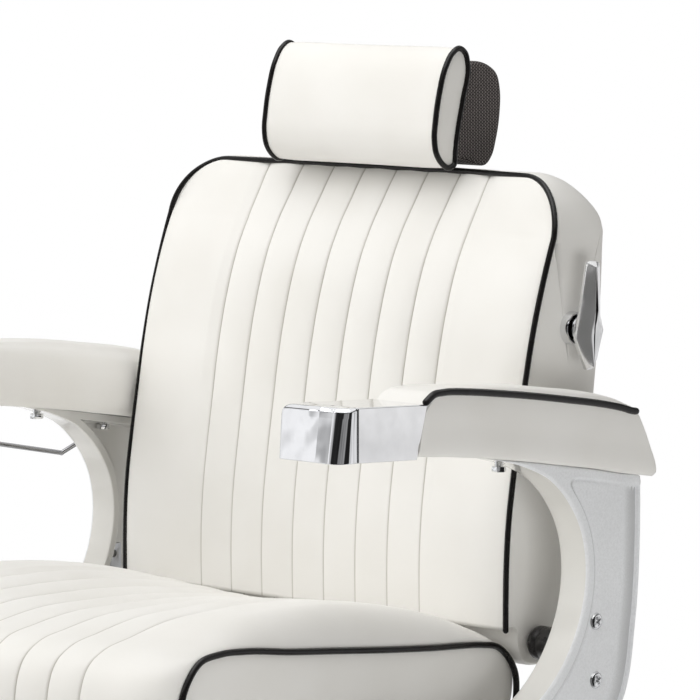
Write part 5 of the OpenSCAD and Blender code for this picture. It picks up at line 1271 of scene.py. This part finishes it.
finishes = {
    "painted": (creamPaint, "white_paint", [
        ("base_plate", "base", 1.5), ("pedal_bracket", "base", 0.8), ("swivel_hub", "chair", 0.8),
        ("seat_frame", "chair", 1.2)]),
    "chromed": (chrome, "chrome", [
        ("headrest_mast", "mast", 0.4), ("arm_bolts", "chair", 0.3), ("base_trim_ring", "base", 0.8),
        ("column_housing", "base", 1.2), ("ram", "lift", 0.8), ("pedal_arm", "pump_pedal", 0.6),
        ("recline_lever", "release_lever", 0.5), ("legrest_frame", "legrest", 0.8),
        ("footrest_frame", "footrest", 0.6)]),
    "dark": (darkChrome, "chrome", [("towel_rail", "chair", 0.3)]),
    "black": (blackPlastic, "black_plastic", [
        ("recline_grip", "release_lever", 0.8), ("gland_ring", "base", 0.5)]),
    "soft": (rubber, "rubber", [("floor_gasket", "base", 0.5), ("pedal_pad", "pump_pedal", 0.8),
                                ("footrest_tread", "footrest", 0.6)]),
    "wooden": (plywood, "plywood", [("seat_board", "chair", 0.5), ("legrest_board", "legrest", 0.5)]),
    "bare": (steel, "steel", [("legrest_brackets", "chair", 0.5), ("lever_bracket", "chair", 0.5),
                              ("frame_bolts", "chair", 0.3), ("pivot_brackets", "chair", 0.6)]),
}
for finish, slot, entries in finishes.values():
    for node, body, width in entries:
        words = node.split("_")
        part = mergedCopy(node, words[0] + "".join(word.title() for word in words[1:]))
        soften = part.modifiers.new("edge", "BEVEL")
        soften.width = width * mm
        soften.segments = 2
        soften.limit_method = "ANGLE"
        soften.angle_limit = math.radians(40)
        applyModifiers(part)
        part.data.set_sharp_from_angle(angle=math.radians(35))
        place(part, body, finish, [node])
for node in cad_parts.values():
    node.data.materials.clear()
    node.data.materials.append(steel)
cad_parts["back_board"].data.materials[0] = plywood
print("nodes are dressed")


# Floor, world and lamps

studio = {
    "fill": 0.43, "fillTint": (1.0, 0.98, 0.93), "lean": (-0.75, -0.55, 0.0),
    # what metal sees round the room, by direction in degrees from +X towards +Y: a dark room behind
    # the camera with a grey screen in it, pale walls elsewhere, and a white ceiling
    "room": [(0, 0.02), (26, 0.02), (31, 0.6), (38, 0.84), (90, 0.85), (178, 1.0), (206, 1.0), (216, 0.95),
             (238, 0.92), (247, 0.6), (254, 0.02), (296, 0.02), (300, 0.26), (342, 0.3), (346, 0.02),
             (360, 0.02)],
    "ceiling": (24, 34), "cloud": 0.42, "cornice": (23.0, 9.0, 0.9),
    "floorSize": 30000, "floorDrop": 0.5, "floorColour": (0.9, 0.9, 0.9),
    # place, size, power, point that it is aimed at, and whether metal mirrors it
    "lamps": {
        "keyLamp": ((-2.7, -2.6, 2.3), (2.4, 2.4), 39.0, (0, 0.1, 0.7), False),
        "sideLamp": ((1.8, -0.35, 0.15), (1.2, 0.8), 9.5, (0.3, 0.1, 0.5), False),
        "sparkLamp": ((-1.6, -3.2, 2.4), (0.7, 0.7), 5.0, (0, 0.1, 0.7), True),
        "topLamp": ((0.0, -0.6, 3.4), (2.6, 2.6), 48.0, (0, 0.1, 0.7), True),
    },
}


# 1 for rays of the named kinds, 0 for all others
def rayShare(tree, *kinds):
    path = tree.nodes.new("ShaderNodeLightPath")
    share = path.outputs[kinds[0]]
    for kind in kinds[1:]:
        share = calc(tree, "MAXIMUM", share, path.outputs[kind])
    return share


# Brightness of the room that metal sees: a ramp over the direction, clouded by slow noise, and
# white above the ceiling's lower edge
def roomColour(tree, direction):
    up = axisOf(tree, direction, "Z")
    turn = calc(tree, "ARCTAN2", axisOf(tree, direction, "Y"), axisOf(tree, direction, "X"))
    turn = calc(tree, "FRACT", calc(tree, "ADD", calc(tree, "DIVIDE", turn, 2 * math.pi), 1.0))
    ramp = tree.nodes.new("ShaderNodeValToRGB")
    elements = ramp.color_ramp.elements
    for i, (angle, level) in enumerate(studio["room"]):
        spot = elements[i] if i < 2 else elements.new(angle / 360)
        spot.position = angle / 360
        spot.color = (level, level, level * 1.01, 1)
    setSockets(tree, ramp, {"Fac": turn})
    cloud = mapped(tree, noise(tree, direction, 4.2, 1.5), 0.36, 0.6, 1 - studio["cloud"], 1.12)
    walls = mixColour(tree, 1, ramp.outputs["Color"], cloud, "MULTIPLY")
    low, high = (math.sin(math.radians(a)) for a in studio["ceiling"])
    room = toned(tree, up, low, high, walls, (1.0, 1.0, 1.0))
    # a dark cornice between the walls and the ceiling draws the thin line along metal edges
    height, width, depth = studio["cornice"]
    away = calc(tree, "ABSOLUTE", calc(tree, "SUBTRACT", up, math.sin(math.radians(height))))
    share = mapped(tree, away, math.radians(width) * 0.5, math.radians(width), depth, 0)
    return mixColour(tree, share, room, (0.02, 0.02, 0.02))


# White for the camera and through glass, the room for metal, and for the rest a fill that leans
# towards the front left: its level times 1 plus the direction's dot product with the lean
def addWorld():
    world = bpy.data.worlds.new("studio")
    scene.world = world
    tree = emptyTree(world)
    direction = addNode(tree, "TexCoord", {}, "Generated")
    lean = addNode(tree, "VectorMath", {0: direction, 1: studio["lean"]}, "Value", operation="DOT_PRODUCT")
    level = calc(tree, "MULTIPLY", calc(tree, "ADD", lean, 1.0), studio["fill"])
    fill = addNode(tree, "VectorMath", {0: studio["fillTint"], "Scale": level}, "Vector", operation="SCALE")
    colours = mixColour(tree, rayShare(tree, "Is Glossy Ray"), fill, roomColour(tree, direction))
    white = rayShare(tree, "Is Camera Ray", "Is Transmission Ray")
    colours = mixColour(tree, white, colours, (1.0, 1.0, 1.0))
    background = addNode(tree, "Background", {"Color": colours})
    setSockets(tree, tree.nodes.new("ShaderNodeOutputWorld"), {"Surface": background})


# Floor: a pale sheet that keeps the shadow and isn't mirrored in metal. It glows white for the
# camera as it gets far, so that the shadow near the chair stays
def addFloor():
    x = np.linspace(-studio["floorSize"], studio["floorSize"], 9)
    grid = np.stack(np.meshgrid(x, x, [-studio["floorDrop"]], indexing="ij"), axis=-1)
    floor = addMesh("studioFloor", grid.reshape(-1, 3), [gridQuads(9, 9, wrapPoints=False)[:, ::-1]])
    material = bpy.data.materials.new("studioFloor")
    tree = emptyTree(material)
    where = addNode(tree, "TexCoord", {}, "Object")
    far = addNode(tree, "VectorMath", {0: where}, "Value", operation="LENGTH")
    seen = rayShare(tree, "Is Camera Ray", "Is Glossy Ray", "Is Transmission Ray")
    share = calc(tree, "MULTIPLY", seen, mapped(tree, far, 0.6, 2.2, 0.35, 1))
    matt = addNode(tree, "BsdfDiffuse", {"Color": studio["floorColour"]})
    glow = addNode(tree, "Emission", {"Strength": 1})
    mix = addNode(tree, "MixShader", {0: share, 1: matt, 2: glow})
    setSockets(tree, tree.nodes.new("ShaderNodeOutputMaterial"), {"Surface": mix})
    floor.data.materials.append(material)
    floor.visible_glossy = False


# Soft rectangular lamps, each turned so that it faces the point it is aimed at
def addLamps():
    for name, (spot, size, power, aim, mirrored) in studio["lamps"].items():
        lamp = bpy.data.lights.new(name, "AREA")
        lamp.shape = "RECTANGLE"
        lamp.size, lamp.size_y = size
        lamp.energy = power
        obj = bpy.data.objects.new(name, lamp)
        away = np.array(spot) - np.array(aim)
        obj.location = spot
        obj.rotation_euler = (math.atan2(math.hypot(away[0], away[1]), away[2]), 0,
                              math.atan2(away[1], away[0]) + math.pi / 2)
        obj.visible_glossy = mirrored
        scene.collection.objects.link(obj)


addWorld()
addFloor()
addLamps()
scene.view_settings.view_transform = "Standard"
print("light is set")
